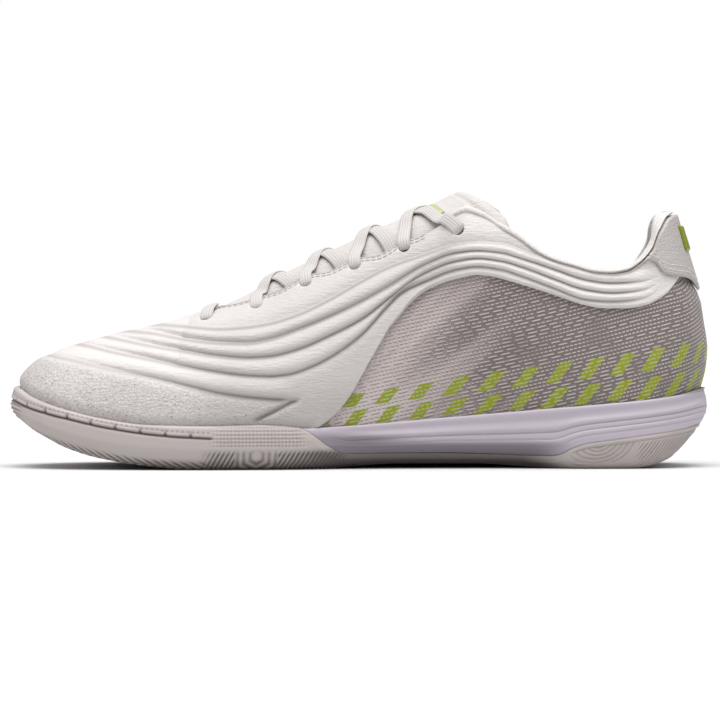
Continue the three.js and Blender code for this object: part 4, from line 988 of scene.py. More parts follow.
class ShoeSizes(bpy.types.PropertyGroup):
    """Sizes of the shoe that a user would change."""
    shoe_length: measure("Length", "Length of the sole", FRAME_LENGTH)
    ball_width: measure("Ball width", "Width of the sole at the ball", FRAME_WIDTH)
    heel_width: measure("Heel width", "Width of the sole at the heel", 0.0775)
    heel_height: measure("Heel height", "Top of the heel over the floor", 0.105)
    instep_height: measure("Instep height", "Top of the throat over the floor", 0.1057)
    vamp_height: measure("Vamp height", "Start of the throat over the floor", 0.063)
    heel_stack: measure("Heel stack", "Height of the sole at the heel", 0.033)
    ball_stack: measure("Ball stack", "Height of the sole at the ball", 0.0176)
    footbed_heel: measure("Footbed at heel", "Footbed over the floor", 0.022)
    footbed_ball: measure("Footbed at ball", "Footbed over the floor", 0.0105)
    knit_wall: measure("Knit wall", "Thickness of the knitted bootie", 0.002)
    leather_wall: measure("Leather wall", "Thickness of the leather over the knit", 0.0015)
    rib_relief: measure("Rib relief", "Height of the embossed ribs", 0.0018)
    eyelet: measure("Eyelet", "Diameter of an eyelet", 0.005)
    lace_width: measure("Lace width", "Width of the flat lace", 0.0055)
    lace_thickness: measure("Lace thickness", "Thickness of the flat lace", 0.0012)
    thread_pitch: measure("Thread pitch", "Distance between the knit's rows", 0.0015)
    bar_pitch: measure("Bar pitch", "Distance between the lime bars", 0.0125)
    thread_climb: amount("Thread climb", "Angle of the knit's rows in degrees", 13.0)
    lime: bpy.props.FloatVectorProperty(
        name="Lime", description="Colour of the lime bars", subtype="COLOR", size=3,
        default=hex_colour("#8a9422"))


class ShoeStudio(bpy.types.PropertyGroup):
    """Sizes and strengths of the stage."""
    distance: measure("Distance", "Camera to the middle of the shoe", 2.0)
    field: measure("Field", "Width that the camera sees at the shoe", 0.3025)
    aim: measure("Aim", "Height that the camera looks at", 0.0443)
    elevation: angle("Elevation", "Angle of the camera over the floor", 1)
    dome: amount("Dome", "Strength of the light from all round", 1.0)
    horizon: amount("Horizon", "Strength of the light from the sides", 0.05)
    key: amount("Key", "Strength of the wide soft light overhead", 2.9)
    key_size: angle("Key size", "Angle that the overhead light spans", 50)
    key_tilt: angle("Key tilt", "Angle of the light from straight above, towards the camera", 11)
    key_turn: angle("Key turn", "Angle that the light is turned towards the toe", 0)


class SHOE_OT_stage(bpy.types.Operator):
    """Pale floor, soft studio light and the camera at the photograph's angle"""
    bl_idname = "shoe.stage"
    bl_label = "Stage"

    def execute(self, context):
        scene, studio = context.scene, context.scene.shoe_studio
        across, along = np.meshgrid(np.linspace(-9, 9, FLOOR_LINES), np.linspace(-6, 12, FLOOR_LINES))
        corners = np.stack([across, along, np.full_like(across, -0.00005)], -1).reshape(-1, 3)
        faces = grid_faces(np.arange(across.size).reshape(across.shape))[:, ::-1]
        sheet = bpy.data.meshes.new("floor")
        sheet.from_pydata(corners.tolist(), [], faces.tolist())
        floor = link("floor", sheet)
        paper = Finish("white paper sweep, matt")
        pale = paper.mix(paper.add("TexNoise", {"Scale": 2.0}), "#d3d3d3", "#d5d5d5")
        sheet.materials.append(paper.surface(pale, 0.9))

        world = bpy.data.worlds.new("studio dome")
        world.use_nodes = True
        # The backdrop is plain white. As a light it is bright overhead and dim at the horizon.
        tree = world.node_tree
        tree.nodes.clear()
        height = node(tree, "ShaderNodeSeparateXYZ", {0: node(tree, "ShaderNodeTexCoord")}, out=2)
        levels = {0: height, 1: 0.0, 2: 0.9, 3: studio.horizon, 4: studio.dome}
        light = node(tree, "ShaderNodeMapRange", levels)
        seen = node(tree, "ShaderNodeLightPath")
        strength = node(tree, "ShaderNodeMix", {0: seen, 2: light, 3: 1.0}, data_type="FLOAT")
        sky = node(tree, "ShaderNodeBackground", {"Color": (1, 1, 1, 1), "Strength": strength})
        node(tree, "ShaderNodeOutputWorld", {"Surface": sky})
        scene.world = world
        lamp = bpy.data.lights.new("overhead softbox", "SUN")
        lamp.energy, lamp.angle = studio.key, studio.key_size
        link("overhead softbox", lamp).rotation_euler = (studio.key_tilt, 0, studio.key_turn)

        lens = bpy.data.cameras.new("camera")
        lens.sensor_width = 36
        lens.lens = lens.sensor_width * studio.distance / studio.field
        camera = link("camera", lens)
        up = math.sin(studio.elevation) * studio.distance
        camera.location = (0, -math.cos(studio.elevation) * studio.distance, studio.aim + up)
        camera.rotation_euler = (math.pi / 2 - studio.elevation, 0, 0)
        scene.camera = camera
        scene.view_settings.view_transform = "Standard"
        scene.view_settings.look = "None"
        return {"FINISHED"}


class SHOE_OT_quarter_knit(bpy.types.Operator):
    """Knitted bootie: the whole inside of the upper, seen outside on the quarter and the heel"""
    bl_idname = "shoe.quarter_knit"
    bl_label = "Quarter knit"

    def execute(self, context):
        sizes = context.scene.shoe_sizes
        last = Last(sizes)
        rows = loop_rows(last, KNIT_ROWS)
        k, side, _ = rows
        free = k > last.at_crest(THROAT_START) + TINY
        top = np.where(free, 1 - KNIT_SHORT / curve_lengths(last.section(k, side)), 1)
        outer_t = top[:, None] * np.linspace(0, 1, KNIT_COLUMNS)[None] ** 0.9
        inner_t = outer_t[:, ::-3].copy()
        inner_t[:, -1] = 0
        travel = last.distance(k, side)[:, None]

        def pattern(points):
            return np.stack([np.broadcast_to(travel, points.shape[:2]), points[..., 2]], -1)

        def lime_zone(points):
            """0 under the band, 1 over it, and the share of its height between."""
            along = points[..., 0] / last.length
            low = last.rim(along) + 1.2
            high = np.interp(along, [0.49, 0.98], [30.5, 51.5])
            share = np.clip((points[..., 2] - low) / (high - low), 0, 1)
            return np.where(along > LEATHER_FROM, share, 0)

        def inner_face(points):
            return np.full(points.shape[:2], float(points.shape[1] == inner_t.shape[1]))

        def fuller(points, t):
            """The heel cup draws in at the sole and bulges past it further up."""
            lift = np.interp(points[..., 2], [33, 40, 50, 60, 68, 73, 78],
                             [-1.6, -0.1, 1.4, 1.4, 2.0, 1.5, 0])
            return smoothstep(last.along(k), 0.9, 1)[:, None] * lift

        piece = shell("quarter_knit", last, rows, outer_t, inner_t, fuller, -last.knit_wall,
                      uv=pattern, attributes={"lime": lime_zone, "inner": inner_face})
        cut_eyelets(last, piece, sizes.eyelet / MM)
        dress(piece, ["upper"], knit_material("jacquard knit, polyester", sizes))
        return {"FINISHED"}


def scallop(last, k):
    """How far the eyestay's edge is cut back: nothing at an eyelet and most half way to the next."""
    along = last.column["crest_at"](k)
    turns = np.interp(along, EYELETS[:, 0], np.arange(len(EYELETS)))
    return window(along, 0.29, 0.3, 0.565, 0.6) * SCALLOP * (0.5 - 0.5 * np.cos(2 * np.pi * turns))


class SHOE_OT_upper_leather(bpy.types.Operator):
    """Ribbed leather: toe panel, vamp, eyestay and collar band, with its rolled lower edge"""
    bl_idname = "shoe.upper_leather"
    bl_label = "Upper leather"

    def execute(self, context):
        sizes = context.scene.shoe_sizes
        last = Last(sizes)
        rows = loop_rows(last, LEATHER_ROWS)
        k, side, _ = rows
        controls = last.section(k, side)
        rim = last.share_at(controls, lambda _: last.rim(last.along(k)) - LEATHER_TUCKED)
        drawn = np.clip(last.share_at(controls, last.leather_edge), rim, 0.97)
        blend = smoothstep(last.along(k), LEATHER_FROM - 0.012, LEATHER_FROM)
        edge = rim + (drawn - rim) * blend
        lengths = curve_lengths(controls)
        roll = np.where(blend > 0.5, 1.1, 0.4) / lengths
        valleys = [last.share_at(controls, lambda along, i=i: last.valleys(along)[..., i]) for i in range(5)]
        top = 1 - scallop(last, k) / lengths
        marks = np.stack([edge, edge + roll, *valleys, top - roll, top], 1)
        marks = spread(np.minimum(marks, top[:, None]), 0.0015)
        outer_t = fill(marks, [6, 14, 20, 20, 20, 20, 24, 6])
        inner_t = fill(marks[:, [-1, 0]], [14])
        free = (k > last.at_crest(THROAT_START))[:, None]

        def wall(points, t):
            """Height over the last: rounded edges, the relief, and thin where it enters the sole's cup."""
            low = np.clip((t - marks[:, :1]) / roll[:, None], 0, 1)
            high = np.where(free, np.clip((marks[:, -1:] - t) / roll[:, None], 0, 1), 1)
            rounded = quarter_round(low) * quarter_round(high)
            calm = smoothstep(t, 0.7, 0.97) * (1 - smoothstep(last.along(k), 0.27, 0.3))[:, None]
            relief = last.relief(points)[0] * (1 - 0.8 * calm)
            ease = smoothstep(low, 0, 1) * smoothstep(high, 0, 1)
            height = EDGE_WALL + (last.leather_wall - EDGE_WALL) * rounded + relief * ease
            above = points[..., 2] - last.rim(last.along(k))[:, None]
            entering = (1 - blend)[:, None] * (1 - smoothstep(above, -1.0, 3.5))
            return height * (1 - 0.75 * entering) - 0.6 * (1 - smoothstep(last.along(k), 0, 0.06))[:, None]

        def painted_shade(points):
            """Painted shade: in the rib valleys, on the quarter's side, low on the side, and a painted shadow
            under the collar's roll.
            """
            along = points[..., 0] / last.length
            # Painted shade on the quarter's side and low on the side, where less light falls.
            side_shade = np.interp(along, [0, 0.08, 0.22, 0.32, 0.5, 0.6, 0.68],
                                   [0.1, 0.12, 0.08, 0.33, 0.34, 0.28, 0])
            low_shade = 0.22 * (1 - smoothstep(points[..., 2], 22, 42)) * smoothstep(along, 0.2, 0.3)
            # Painted shadow: a dark line along the leather's top edge under the collar's roll.
            painted_roll_shadow = np.zeros(along.shape)
            if along.shape == outer_t.shape:
                painted_roll_shadow = bump((marks[:, -1:] - outer_t) * lengths[:, None], 0.7, 0.8)
                painted_roll_shadow *= np.interp(along, [0.27, 0.29, 0.61, 0.64], [0, 0.5, 0.5, 1])
            return np.minimum(0.5 * last.relief(points)[1] + side_shade + low_shade + painted_roll_shadow, 1)

        def grain(points):
            """Coarse grain on the toe panel, below the lowest rib."""
            along = points[..., 0] / last.length
            front = 1 - smoothstep(along, NOTCH[-1][0] - 0.02, NOTCH[-1][0])
            return front * smoothstep(last.valleys(along)[..., 0] - points[..., 2], -1.5, 3.0)

        piece = shell("upper_leather", last, rows, outer_t, inner_t, wall, CEMENT,
                      attributes={"painted_shade": painted_shade, "grain": grain})
        cut_eyelets(last, piece, sizes.eyelet / MM)
        finish = leather_material("full-grain leather, embossed", LEATHER_LIT, LEATHER_SHADE, 1.0, 0.7)
        dress(piece, ["upper"], finish)
        return {"FINISHED"}


def sole_rows(last, count):
    """Rows round the sole, evenly spaced along each side, with the distance travelled from the toe."""
    k = np.concatenate([last.even_rows(MEDIAL, count), last.even_rows(LATERAL, count)[::-1][1:-1]])
    side = np.concatenate([np.full(count, MEDIAL), np.full(count - 2, LATERAL)])
    return k, side, last.distance(k, side)


def sole_wall(last, k, side, level, extra=0.0):
    """Points of the sole's side at a share of its height, pushed out by an extra distance."""
    along = last.along(k)
    tread, rim = last.tread(along), last.rim(along)
    tuck = np.where(side < 0, 1, LATERAL_TUCK) * last.tuck(along)
    roll = 1 + 0.5 * (1 - smoothstep(along, 0.02, 0.12)) + 0.5 * smoothstep(along, 0.93, 1)
    z = tread + level * (rim - tread)
    turn = 16.0 - 4.5 * smoothstep(along, 0.45, 0.62)
    under = 4.0 * window(along, 0.42, 0.5, 0.74, 0.8) * np.clip((turn - z) / (turn - 5.5), 0, 1) ** 1.5
    behind = 1.1 * smoothstep(along, 0.9, 1) + 0.6 * (1 - smoothstep(along, 0, 0.05))
    lean = 0.5 * np.clip(1 - (rim - z) / 4.0, 0, 1) ** 2
    inset = last.wall_inset(level) * roll + tuck * (1 - level) ** 2 + under + behind + lean - extra
    return last.inset(k, side, inset, z)


def cup_inner(last, k, side, z):
    """The cup's inner face: it stands off the upper by the clearance."""
    point = bezier(last.section(k, side), last.at_height(k, side, z))
    flat = point[..., :2] + last.plan(k, side)[1] * CLEARANCE
    return np.concatenate([flat, z[..., None]], -1)


def ring_piece(name, outer, inner, painted_hollow_shade):
    """A closed ring: each row goes up the outer wall and back through the points of the inner faces.

    The last argument is painted shade on the outer wall, stored as an attribute.
    """
    rings = np.concatenate([outer, *(part.reshape(len(part), -1, 3) for part in inner)], axis=1)
    shade = np.zeros(rings.shape[:2])
    shade[:, :outer.shape[1]] = painted_hollow_shade
    faces = grid_faces(np.arange(shade.size).reshape(shade.shape), wrap_rows=True, wrap_columns=True)
    return add_piece(name, rings, faces, attributes={"painted_hollow_shade": shade})


def toe_detail(last, along, travel, z, tread):
    """Relief of the forefoot's side: notched lip groove, pips, toe lines, wedges, hatch, slats, hexagon."""
    groove = last.groove(along)
    front = 1 - smoothstep(along, 0.288, 0.296)
    cut = -1.0 * bump(z, groove, 0.55) * front
    tick = bump((travel / TICK_PITCH) % 1, 0.5, 0.055)
    cut -= 1.1 * tick * front * bump(z, groove + 0.9, 1.0) * smoothstep(travel, 8, 12)
    lip = 0.35 * smoothstep(z - groove, 0.2, 1.2) * front * smoothstep(travel, 0, 30)
    pips = -0.7 * bump((travel / PIP_PITCH) % 1, 0.5, 0.2) * bump(z, groove + 2.0, 0.5) * front
    lines = 0.3 * (wave((groove - z) / 1.6) - 0.6) * (1 - smoothstep(travel, 16, 26)) * (z < groove - 0.8)
    height = z - tread
    wedge = np.clip(wave((travel + 1.9 * height) / WEDGE_PITCH), 0, 1)
    wedges = -1.1 * wedge * (1 - smoothstep(height, 1.8, 4.0)) * smoothstep(travel, 10, 18)
    wedges *= 1 - smoothstep(along, 0.27, 0.3)
    patch = window(along, 0.28, 0.31, 0.41, 0.43) * smoothstep(z, 8.5, 10)
    hatch = 0.3 * (wave((travel + z) / HATCH_PITCH) * wave((travel - z) / HATCH_PITCH) - 0.3) * patch
    slat_zone = window(along, 0.27, 0.3, 0.46, 0.49) * (1 - smoothstep(z, 6.0, 8.5))
    dx, dz = np.abs(along - 0.355) * last.length, np.abs(z - 5.5)
    hexagon = np.maximum(dx, dx / 2 + dz * 0.866)
    inside = 1 - smoothstep(hexagon, 8.6, 9.2)
    slats = 0.9 * (wave((travel - 0.55 * z) / SLAT_PITCH) * 0.5 - 0.5) * slat_zone * (1 - inside)
    rings = -0.6 * inside * (0.5 + 0.5 * np.cos(2 * np.pi * hexagon / RING_PITCH)) * (hexagon > 1)
    return cut + lip + pips + lines + wedges + hatch + slats + rings * slat_zone


def heel_detail(last, along, travel, z, tread, top):
    """Relief of the heel's side: nested rounded lines, slanted ribs, a rim line and fine dots."""
    zone = smoothstep(along, 0.79, 0.81)
    dx, dz = (along - 0.838) * last.length, z - top + 1
    nested = np.sqrt((dx / 1.6) ** 2 + dz ** 2)
    u_zone = (1 - smoothstep(nested, 9.5, 10.5)) * (1 - smoothstep(top - z, 9, 10)) * zone
    lines = -0.6 * (0.5 + 0.5 * np.cos(2 * np.pi * nested / 1.5)) * u_zone * smoothstep(top - z, 1.6, 2.6)
    ribs = np.clip(wave((travel - 0.9 * (z - tread)) / 1.9), -0.4, 1)
    slanted = -0.55 * ribs * smoothstep(along, 0.885, 0.9) * (1 - u_zone) * smoothstep(top - z, 2.4, 3.4)
    rim = -0.5 * bump(top - z, 2.0, 0.35) * zone
    dots = 0.3 * bump((travel / 1.5) % 1, 0.5, 0.22) * bump(top - z, 1.1, 0.35) * smoothstep(along, 0.8, 0.83)
    return lines + slanted + rim + dots


class SHOE_OT_outsole(bpy.types.Operator):
    """Rubber cupsole: walls with their moulded relief, and the tread with zigzag grooves"""
    bl_idname = "shoe.outsole"
    bl_label = "Outsole"

    def execute(self, context):
        last = Last(context.scene.shoe_sizes)
        finish = rubber_material("gum rubber, moulded", "#bfb6b3", "#655d5b")
        for piece in (self.walls(last), self.tread(last)):
            dress(piece, ["outsole"], finish)
        return {"FINISHED"}

    def walls(self, last):
        """Each row is a closed ring: up the outer wall, over the lip and down the inner face."""
        k, side, travel = sole_rows(last, CUP_ROWS)
        along = last.along(k)
        tread, rim = last.tread(along), last.rim(along)
        top = np.minimum(rim, last.seam(last.plan(k, side)[0][:, 0] / last.length))
        reach = np.clip((top - tread) / (rim - tread), 0.05, 1)
        level = reach[:, None] * np.linspace(0, 1, CUP_COLUMNS)[None] ** 0.85
        wide = [array[:, None] for array in (along, travel, tread, top)]
        wide_along, wide_travel, wide_tread, wide_top = wide
        z = wide_tread + level * (rim - tread)[:, None]
        detail = toe_detail(last, wide_along, wide_travel, z, wide_tread)
        detail = detail * (1 - smoothstep(wide_along, 0.49, 0.52))
        detail = detail + heel_detail(last, wide_along, wide_travel, z, wide_tread, wide_top)
        rounding = -0.6 * (1 - quarter_round((wide_top - z) / 0.9))
        outer = sole_wall(last, k[:, None], side[:, None], level, detail + rounding)
        tuck = last.tuck(along)
        ledge = last.inset(k, side, 6.2 + np.where(side < 0, 1, LATERAL_TUCK) * tuck, top)
        is_cup = (along < SOLE_SPLIT - 0.01)[:, None]
        inner_top = np.where(is_cup, cup_inner(last, k, side, top), ledge)
        low_z = np.minimum(tread + 3.4, top - 0.4)
        inner_low = last.inset(k, side, 6.6 + tuck, low_z)
        deep = outer[:, 0] + (inner_low - outer[:, 0]) * 0.02
        deep[:, 2] = tread + 0.4 * (low_z - tread)
        share = np.linspace(0, 1, 7)[1:-1, None]
        bulge = np.sin(np.pi * share) * np.array([0, 0, 0.35])
        over = outer[:, -1][:, None] + (inner_top - outer[:, -1])[:, None] * share + bulge
        waist = window(along, 0.38, 0.48, 0.72, 0.79)[:, None]
        heel = smoothstep(along, 0.76, 0.82)[:, None]
        # Painted shade: darker below the lip, towards the tread, under the arch where the wall tucks in, and
        # in the relief's grooves, lighter on its ridges.
        painted_underside_shade = (1 - heel) * (0.15 * (wide_top - z > 3) + 0.45 * smoothstep(5.5 - z, 0, 4))
        painted_underside_shade = painted_underside_shade + 0.75 * waist * smoothstep(10.0 - z, 0, 4)
        painted_hollow_shade = np.clip(painted_underside_shade - detail * (0.9 - 0.5 * heel), 0, 1)
        return ring_piece("outsole_cup", outer, (over, inner_top, inner_low, deep), painted_hollow_shade)

    def tread(self, last):
        """A plate under the cup: its lower face follows the tread line, cut by zigzag grooves."""
        k = last.even_rows(MEDIAL, 420, 0.5)
        along = last.along(k)[:, None]
        edges = [sole_wall(last, k, side, np.zeros(len(k)), -0.1) for side in (MEDIAL, LATERAL)]
        share = np.linspace(0, 1, 110)[None, :, None]
        lower = between(edges, share)
        zigzag = np.abs((lower[..., 1] / 12) % 1 - 0.5) * 9
        phase = ((lower[..., 0] + zigzag) / 6.6) % 1
        field = window(along, 0.16, 0.18, 0.46, 0.48) + window(along, 0.77, 0.78, 0.92, 0.94)
        margin = window(share[..., 0], 0.03, 0.06, 0.94, 0.97)
        groove = field * margin * (1 - smoothstep(np.abs(phase - 0.5), 0.13, 0.2))
        lower[..., 2] += 1.5 * groove
        upper = between(edges, share) + np.array([0, 0, 3.0])
        # Painted shade in the zigzag grooves.
        return slab("outsole_tread", upper, lower, attributes={"painted_hollow_shade": np.clip(groove, 0, 1)})


class SHOE_OT_midsole(bpy.types.Operator):
    """Foam midsole: a ring from under the arch round the heel, with its moulded grooves"""
    bl_idname = "shoe.midsole"
    bl_label = "Midsole"

    def execute(self, context):
        last = Last(context.scene.shoe_sizes)
        k, side, _ = sole_rows(last, 420)
        along = last.along(k)
        tread, rim = last.tread(along), last.rim(along)
        seam = last.seam(last.plan(k, side)[0][:, 0] / last.length)
        low = np.clip((np.minimum(seam, rim) + CLEARANCE - tread) / (rim - tread), 0, 0.985)[:, None]
        level = low + (1 - low) * np.linspace(0, 1, 54)[None]
        z = tread[:, None] + level * (rim - tread)[:, None]
        wide = along[:, None]
        grooves = self.grooves(wide, z, rim[:, None], seam[:, None])
        edge = 0.5 * (1 - quarter_round((rim[:, None] - z) / 1.2))
        hidden = 3.3 * (1 - smoothstep(wide, 0.405, 0.43))
        outer = sole_wall(last, k[:, None], side[:, None], level, grooves - edge - hidden)
        bed = last.bed(along)
        inner = (cup_inner(last, k, side, rim - 0.1), last.inset(k, side, 9.0, bed - 0.4),
                 last.inset(k, side, 9.0, np.minimum(tread + 4.6, bed - 1.0)))
        # Painted shade: darker on the low band that turns under, under the bulge at the front, and in the
        # moulded grooves.
        shaded = 0.75 * smoothstep(12.5 - z, 0, 3.5) * (1 - smoothstep(wide, 0.74, 0.82))
        painted_front_shade = 0.6 * (1 - smoothstep(wide, 0.5, 0.6)) * smoothstep(16.5 - z, 0, 4)
        painted_hollow_shade = np.maximum(np.clip(-grooves * 0.4, 0, 1), np.maximum(shaded, painted_front_shade))
        piece = ring_piece("midsole_foam", outer, inner, painted_hollow_shade)
        dress(piece, ["midsole"], foam_material("EVA foam, moulded"))
        return {"FINISHED"}

    @staticmethod
    def grooves(along, z, rim, seam):
        """Soft channels that follow the seam at the arch and gather towards the heel."""
        share = (z - seam) / np.maximum(rim - seam, 1)
        cut = sum(bump(share, line, 0.024) * (0.6 + 0.2 * i) for i, line in enumerate((0.2, 0.35, 0.5)))
        ridge = 0.3 * bump(share, 0.6, 0.07) + 0.2 * bump(share, 0.27, 0.1)
        return window(along, 0.45, 0.5, 0.99, 1.0) * (ridge - 0.5 * cut - 0.35 * bump(share, 0.8, 0.12))


class SHOE_OT_insole(bpy.types.Operator):
    """Removable footbed with a raised edge"""
    bl_idname = "shoe.insole"
    bl_label = "Insole"

    def execute(self, context):
        last = Last(context.scene.shoe_sizes)
        k = last.even_rows(MEDIAL, 180, 0.4)
        inset = RIM_WALL + last.knit_wall + 2 * CLEARANCE + 0.6
        floor = last.bed(last.along(k)) + CLEARANCE
        sides = [last.inset(k, side, inset, floor) for side in (MEDIAL, LATERAL)]
        share = np.linspace(0, 1, 60)[None, :, None]
        lower = between(sides, share)
        upper = lower.copy()
        upper[..., 2] += 2.6 + 0.9 * np.abs(2 * share[..., 0] - 1) ** 4
        finish = cloth_material("brushed tricot, footbed", "#c5c0bd", "#aaa4a1", 1.2)
        dress(slab("insole", upper, lower), ["insole"], finish)
        return {"FINISHED"}


def patch_rows(k_from, count):
    """Rows from section k_from on the medial side round the heel to the same section on the lateral side."""
    k = np.linspace(k_from, LAST_SECTION, count)
    side = np.concatenate([np.full(count, MEDIAL), np.full(count - 1, LATERAL)])
    return np.concatenate([k, k[::-1][1:]]), side


class SHOE_OT_heel_tab(bpy.types.Operator):
    """Leather tab round the top of the heel, its double stitching and the plain lime bar"""
    bl_idname = "shoe.heel_tab"
    bl_label = "Heel tab"

    def execute(self, context):
        sizes = context.scene.shoe_sizes
        last = Last(sizes)
        k, side = patch_rows(last.at_crest(TAB_FROM), 60)
        controls = last.section(k, side)
        edge = np.minimum(last.share_at(controls, last.tab_edge), 0.985)[:, None]
        points = bezier(controls[:, None], edge + (1 - edge) * np.linspace(0, 1, 60)[None])
        normals = facing(points, 0)
        base = last.leather_wall + last.relief(points)[0]
        down = np.stack([path_length(row) for row in points])
        near = np.minimum(np.minimum(down, down[:, -1:] - down), from_ends(len(k))[:, None] * 0.5)
        upper = points + normals * (base + 0.7 + 0.9 * quarter_round(near))[..., None]
        lower = points + normals * (base + 0.5)[..., None]
        zero = np.zeros(down.shape)
        piece = slab("heel_tab", upper, lower, attributes={"painted_shade": zero, "grain": zero + 0.4})
        finish = leather_material("full-grain leather, heel", "#bdb7b5", "#9d9694", 1.1, 0.0)
        dress(piece, ["heel_tab"], finish)
        # Two rows of stitches over the tab's lower edge.
        row, seams = np.arange(len(k)), []
        for height in (2.2, 4.4):
            column = np.abs(down - height).argmin(1)
            seams.append(stitch_row(upper[row, column], normals[row, column], 2.0, 2.6, 0.5))
        thread = cloth_material("polyester thread, bonded", "#d9d3d0", "#b8b0ad", 0.5)
        add_stitches("heel_tab_stitches", seams, 0.6, 0.5, "heel_tab", thread)
        finish = print_material("silicone print, lime badge", sizes.lime)
        dress(self.badge(last), ["heel_badge"], finish)
        return {"FINISHED"}

    @staticmethod
    def badge(last):
        """A bar with rounded edges on the tab."""
        k, side = patch_rows(LAST_SECTION - 0.55, 16)
        low, high = (last.at_height(k, side, share * last.heel_height)[:, None] for share in (0.85, 0.95))
        t = low + (high - low) * np.linspace(0, 1, 24)[None]
        points = bezier(last.section(k, side)[:, None], t)
        normals = facing(points, 0)
        base = last.leather_wall + last.relief(points)[0] + BADGE_ABOVE
        near = np.minimum(from_ends(len(k))[:, None] * 0.55, from_ends(t.shape[1])[None] * 0.45)
        upper = points + normals * (base + 0.25 + 0.7 * quarter_round(near / 0.8))[..., None]
        return slab("heel_badge", upper, points + normals * base[..., None])


class SHOE_OT_collar_lining(bpy.types.Operator):
    """Padded roll of brushed lining round the collar"""
    bl_idname = "shoe.collar_lining"
    bl_label = "Collar lining"

    def execute(self, context):
        last = Last(context.scene.shoe_sizes)
        k, side = patch_rows(last.at_crest(LINING_START), 150)
        along = last.column["crest_at"](k)
        profile = smooth_path(ROLL_PROFILE, 46)[:-1][None]
        heel = smoothstep(along, 0.84, 0.91)
        thick = 6 * np.clip((along - LINING_START) / 0.08, 0.5, 1) * (1 - 0.6 * heel)
        height = 3.4 + 2.0 * (1 - smoothstep(along, 0.7, 0.8)) - 0.8 * heel
        outward = 6 + 8 * heel
        t = np.tile(1 - LINING_DEPTH * np.clip(profile[..., 0], 0, 1), (len(k), 1))
        wrinkle = 0.12 * np.sin(along * 190)[:, None] * profile[..., 1]
        depth = np.minimum(profile[..., 1], 1.05)
        depth = np.maximum(depth, 0) * thick[:, None] + np.minimum(depth, 0) * outward[:, None]
        inwards = last.knit_wall + 0.5 + depth + wrinkle
        points, _ = last.place(k[:, None], side[:, None], t, -inwards)
        controls = last.section(k, side)[:, None]
        up = unit(unit(bezier(controls, t) - bezier(controls, t - 0.02)) + np.array([0, 0, 1.5]))
        rings = points + up * (profile[..., 2] * height[:, None])[..., None]
        piece = add_piece("collar_lining", *tube(rings))
        finish = cloth_material("brushed tricot, collar", "#dfdbd8", "#c8c3c0", 0.9)
        dress(piece, ["collar_lining"], finish)
        return {"FINISHED"}


def tongue_height(last, along, across):
    """Height of the tongue's upper face at a share of the length and a distance from the middle line.

    Between the eyestays it falls to just under their edges with the power 2.2 of the distance, and
    beyond them it keeps under the upper. Behind the throat it is a plain arch.
    """
    line, half = last.tongue_line(along), last.tongue_half(along)
    arch = line - (line - last.tongue_side(along)) * (across / half) ** 2
    gap = np.maximum(last.open_half(along), 3.0)
    edge = np.minimum(last.top_height(along, MEDIAL) - last.knit_wall - 0.7, line)
    away = np.abs(across)
    sagged = line - (line - edge) * np.minimum(away / gap, 1) ** 2.2
    fall = 1 / np.tan(np.radians(last.column["roof"](last.at_crest(along)))) + 0.35
    tucked = sagged - fall * np.maximum(away - gap, 0)
    blend = smoothstep(along, 0.57, 0.62)
    return tucked * (1 - blend) + arch * blend


def tongue_point(last, v, w):
    """Tongue's upper face: v from its root to its tip, w across from -1 to 1.

    Its end sweeps back at the sides, and its corners are round.
    """
    along = TONGUE_FROM + (TONGUE_TO - TONGUE_FROM) * v
    reach = (TONGUE_TO - TONGUE_FROM) * last.length
    near = np.clip(1 - (1 - v) * reach / TONGUE_CORNER, 0, 1)
    half = last.tongue_half(along)
    across = w * (half - TONGUE_CORNER * (1 - np.sqrt(1 - near ** 2)))
    x = (along + TONGUE_SWEEP * v ** 3 * np.abs(across / half) ** 1.4) * last.length
    return np.stack([x, last.axis(along) + across, tongue_height(last, along, across)], -1)


class SHOE_OT_tongue(bpy.types.Operator):
    """Padded leather tongue with a bound edge and a small plain lime bar"""
    bl_idname = "shoe.tongue"
    bl_label = "Tongue"

    def execute(self, context):
        last = Last(context.scene.shoe_sizes)
        across = np.sin(np.linspace(-np.pi / 2, np.pi / 2, 90))
        v, w, sheet, normals = self.sheet(last, np.linspace(0, 1, 150), across)
        reach = TONGUE_TO - TONGUE_FROM
        half = last.tongue_half(TONGUE_FROM + reach * v)
        edge = np.minimum((1 - np.abs(w)) * half, (1 - v) * reach * last.length)
        rounded = quarter_round(edge / 2.0)
        channel = 0.5 * bump(edge, 4.5, 0.6)
        puff = 0.5 * (1 - np.clip(np.abs(w), 0, 1) ** 2) * smoothstep(v, 0.6, 0.87)
        upper = sheet + normals * (-1.6 * (1 - rounded) - channel + puff)[..., None]
        lower = sheet - normals * (2.0 + 2.0 * rounded)[..., None]
        # Painted shade along the stitched channel near the edge.
        looks = {"painted_shade": 0.5 * bump(edge, 4.5, 0.7), "grain": np.zeros(v.shape)}
        piece = slab("tongue", upper, lower, attributes=looks)
        finish = leather_material("soft leather, tongue", "#cbc6c3", "#a69f9c", 0.9, 0.0)
        dress(piece, ["tongue"], finish)

        _, _, sheet, normals = self.sheet(last, np.linspace(0.858, 0.885, 14), np.linspace(-0.42, 0.1, 40))
        label = slab("tongue_label", sheet + normals * 0.75, sheet + normals * 0.2)
        finish = print_material("silicone print, tongue bar", hex_colour("#b9c48a"))
        dress(label, ["tongue"], finish)
        return {"FINISHED"}

    @staticmethod
    def sheet(last, ahead, across):
        """Grid of places on the tongue, their points and their normals."""
        v, w = np.meshgrid(ahead, across, indexing="ij")
        points = tongue_point(last, v, w)
        return v, w, points, facing(points, 2)


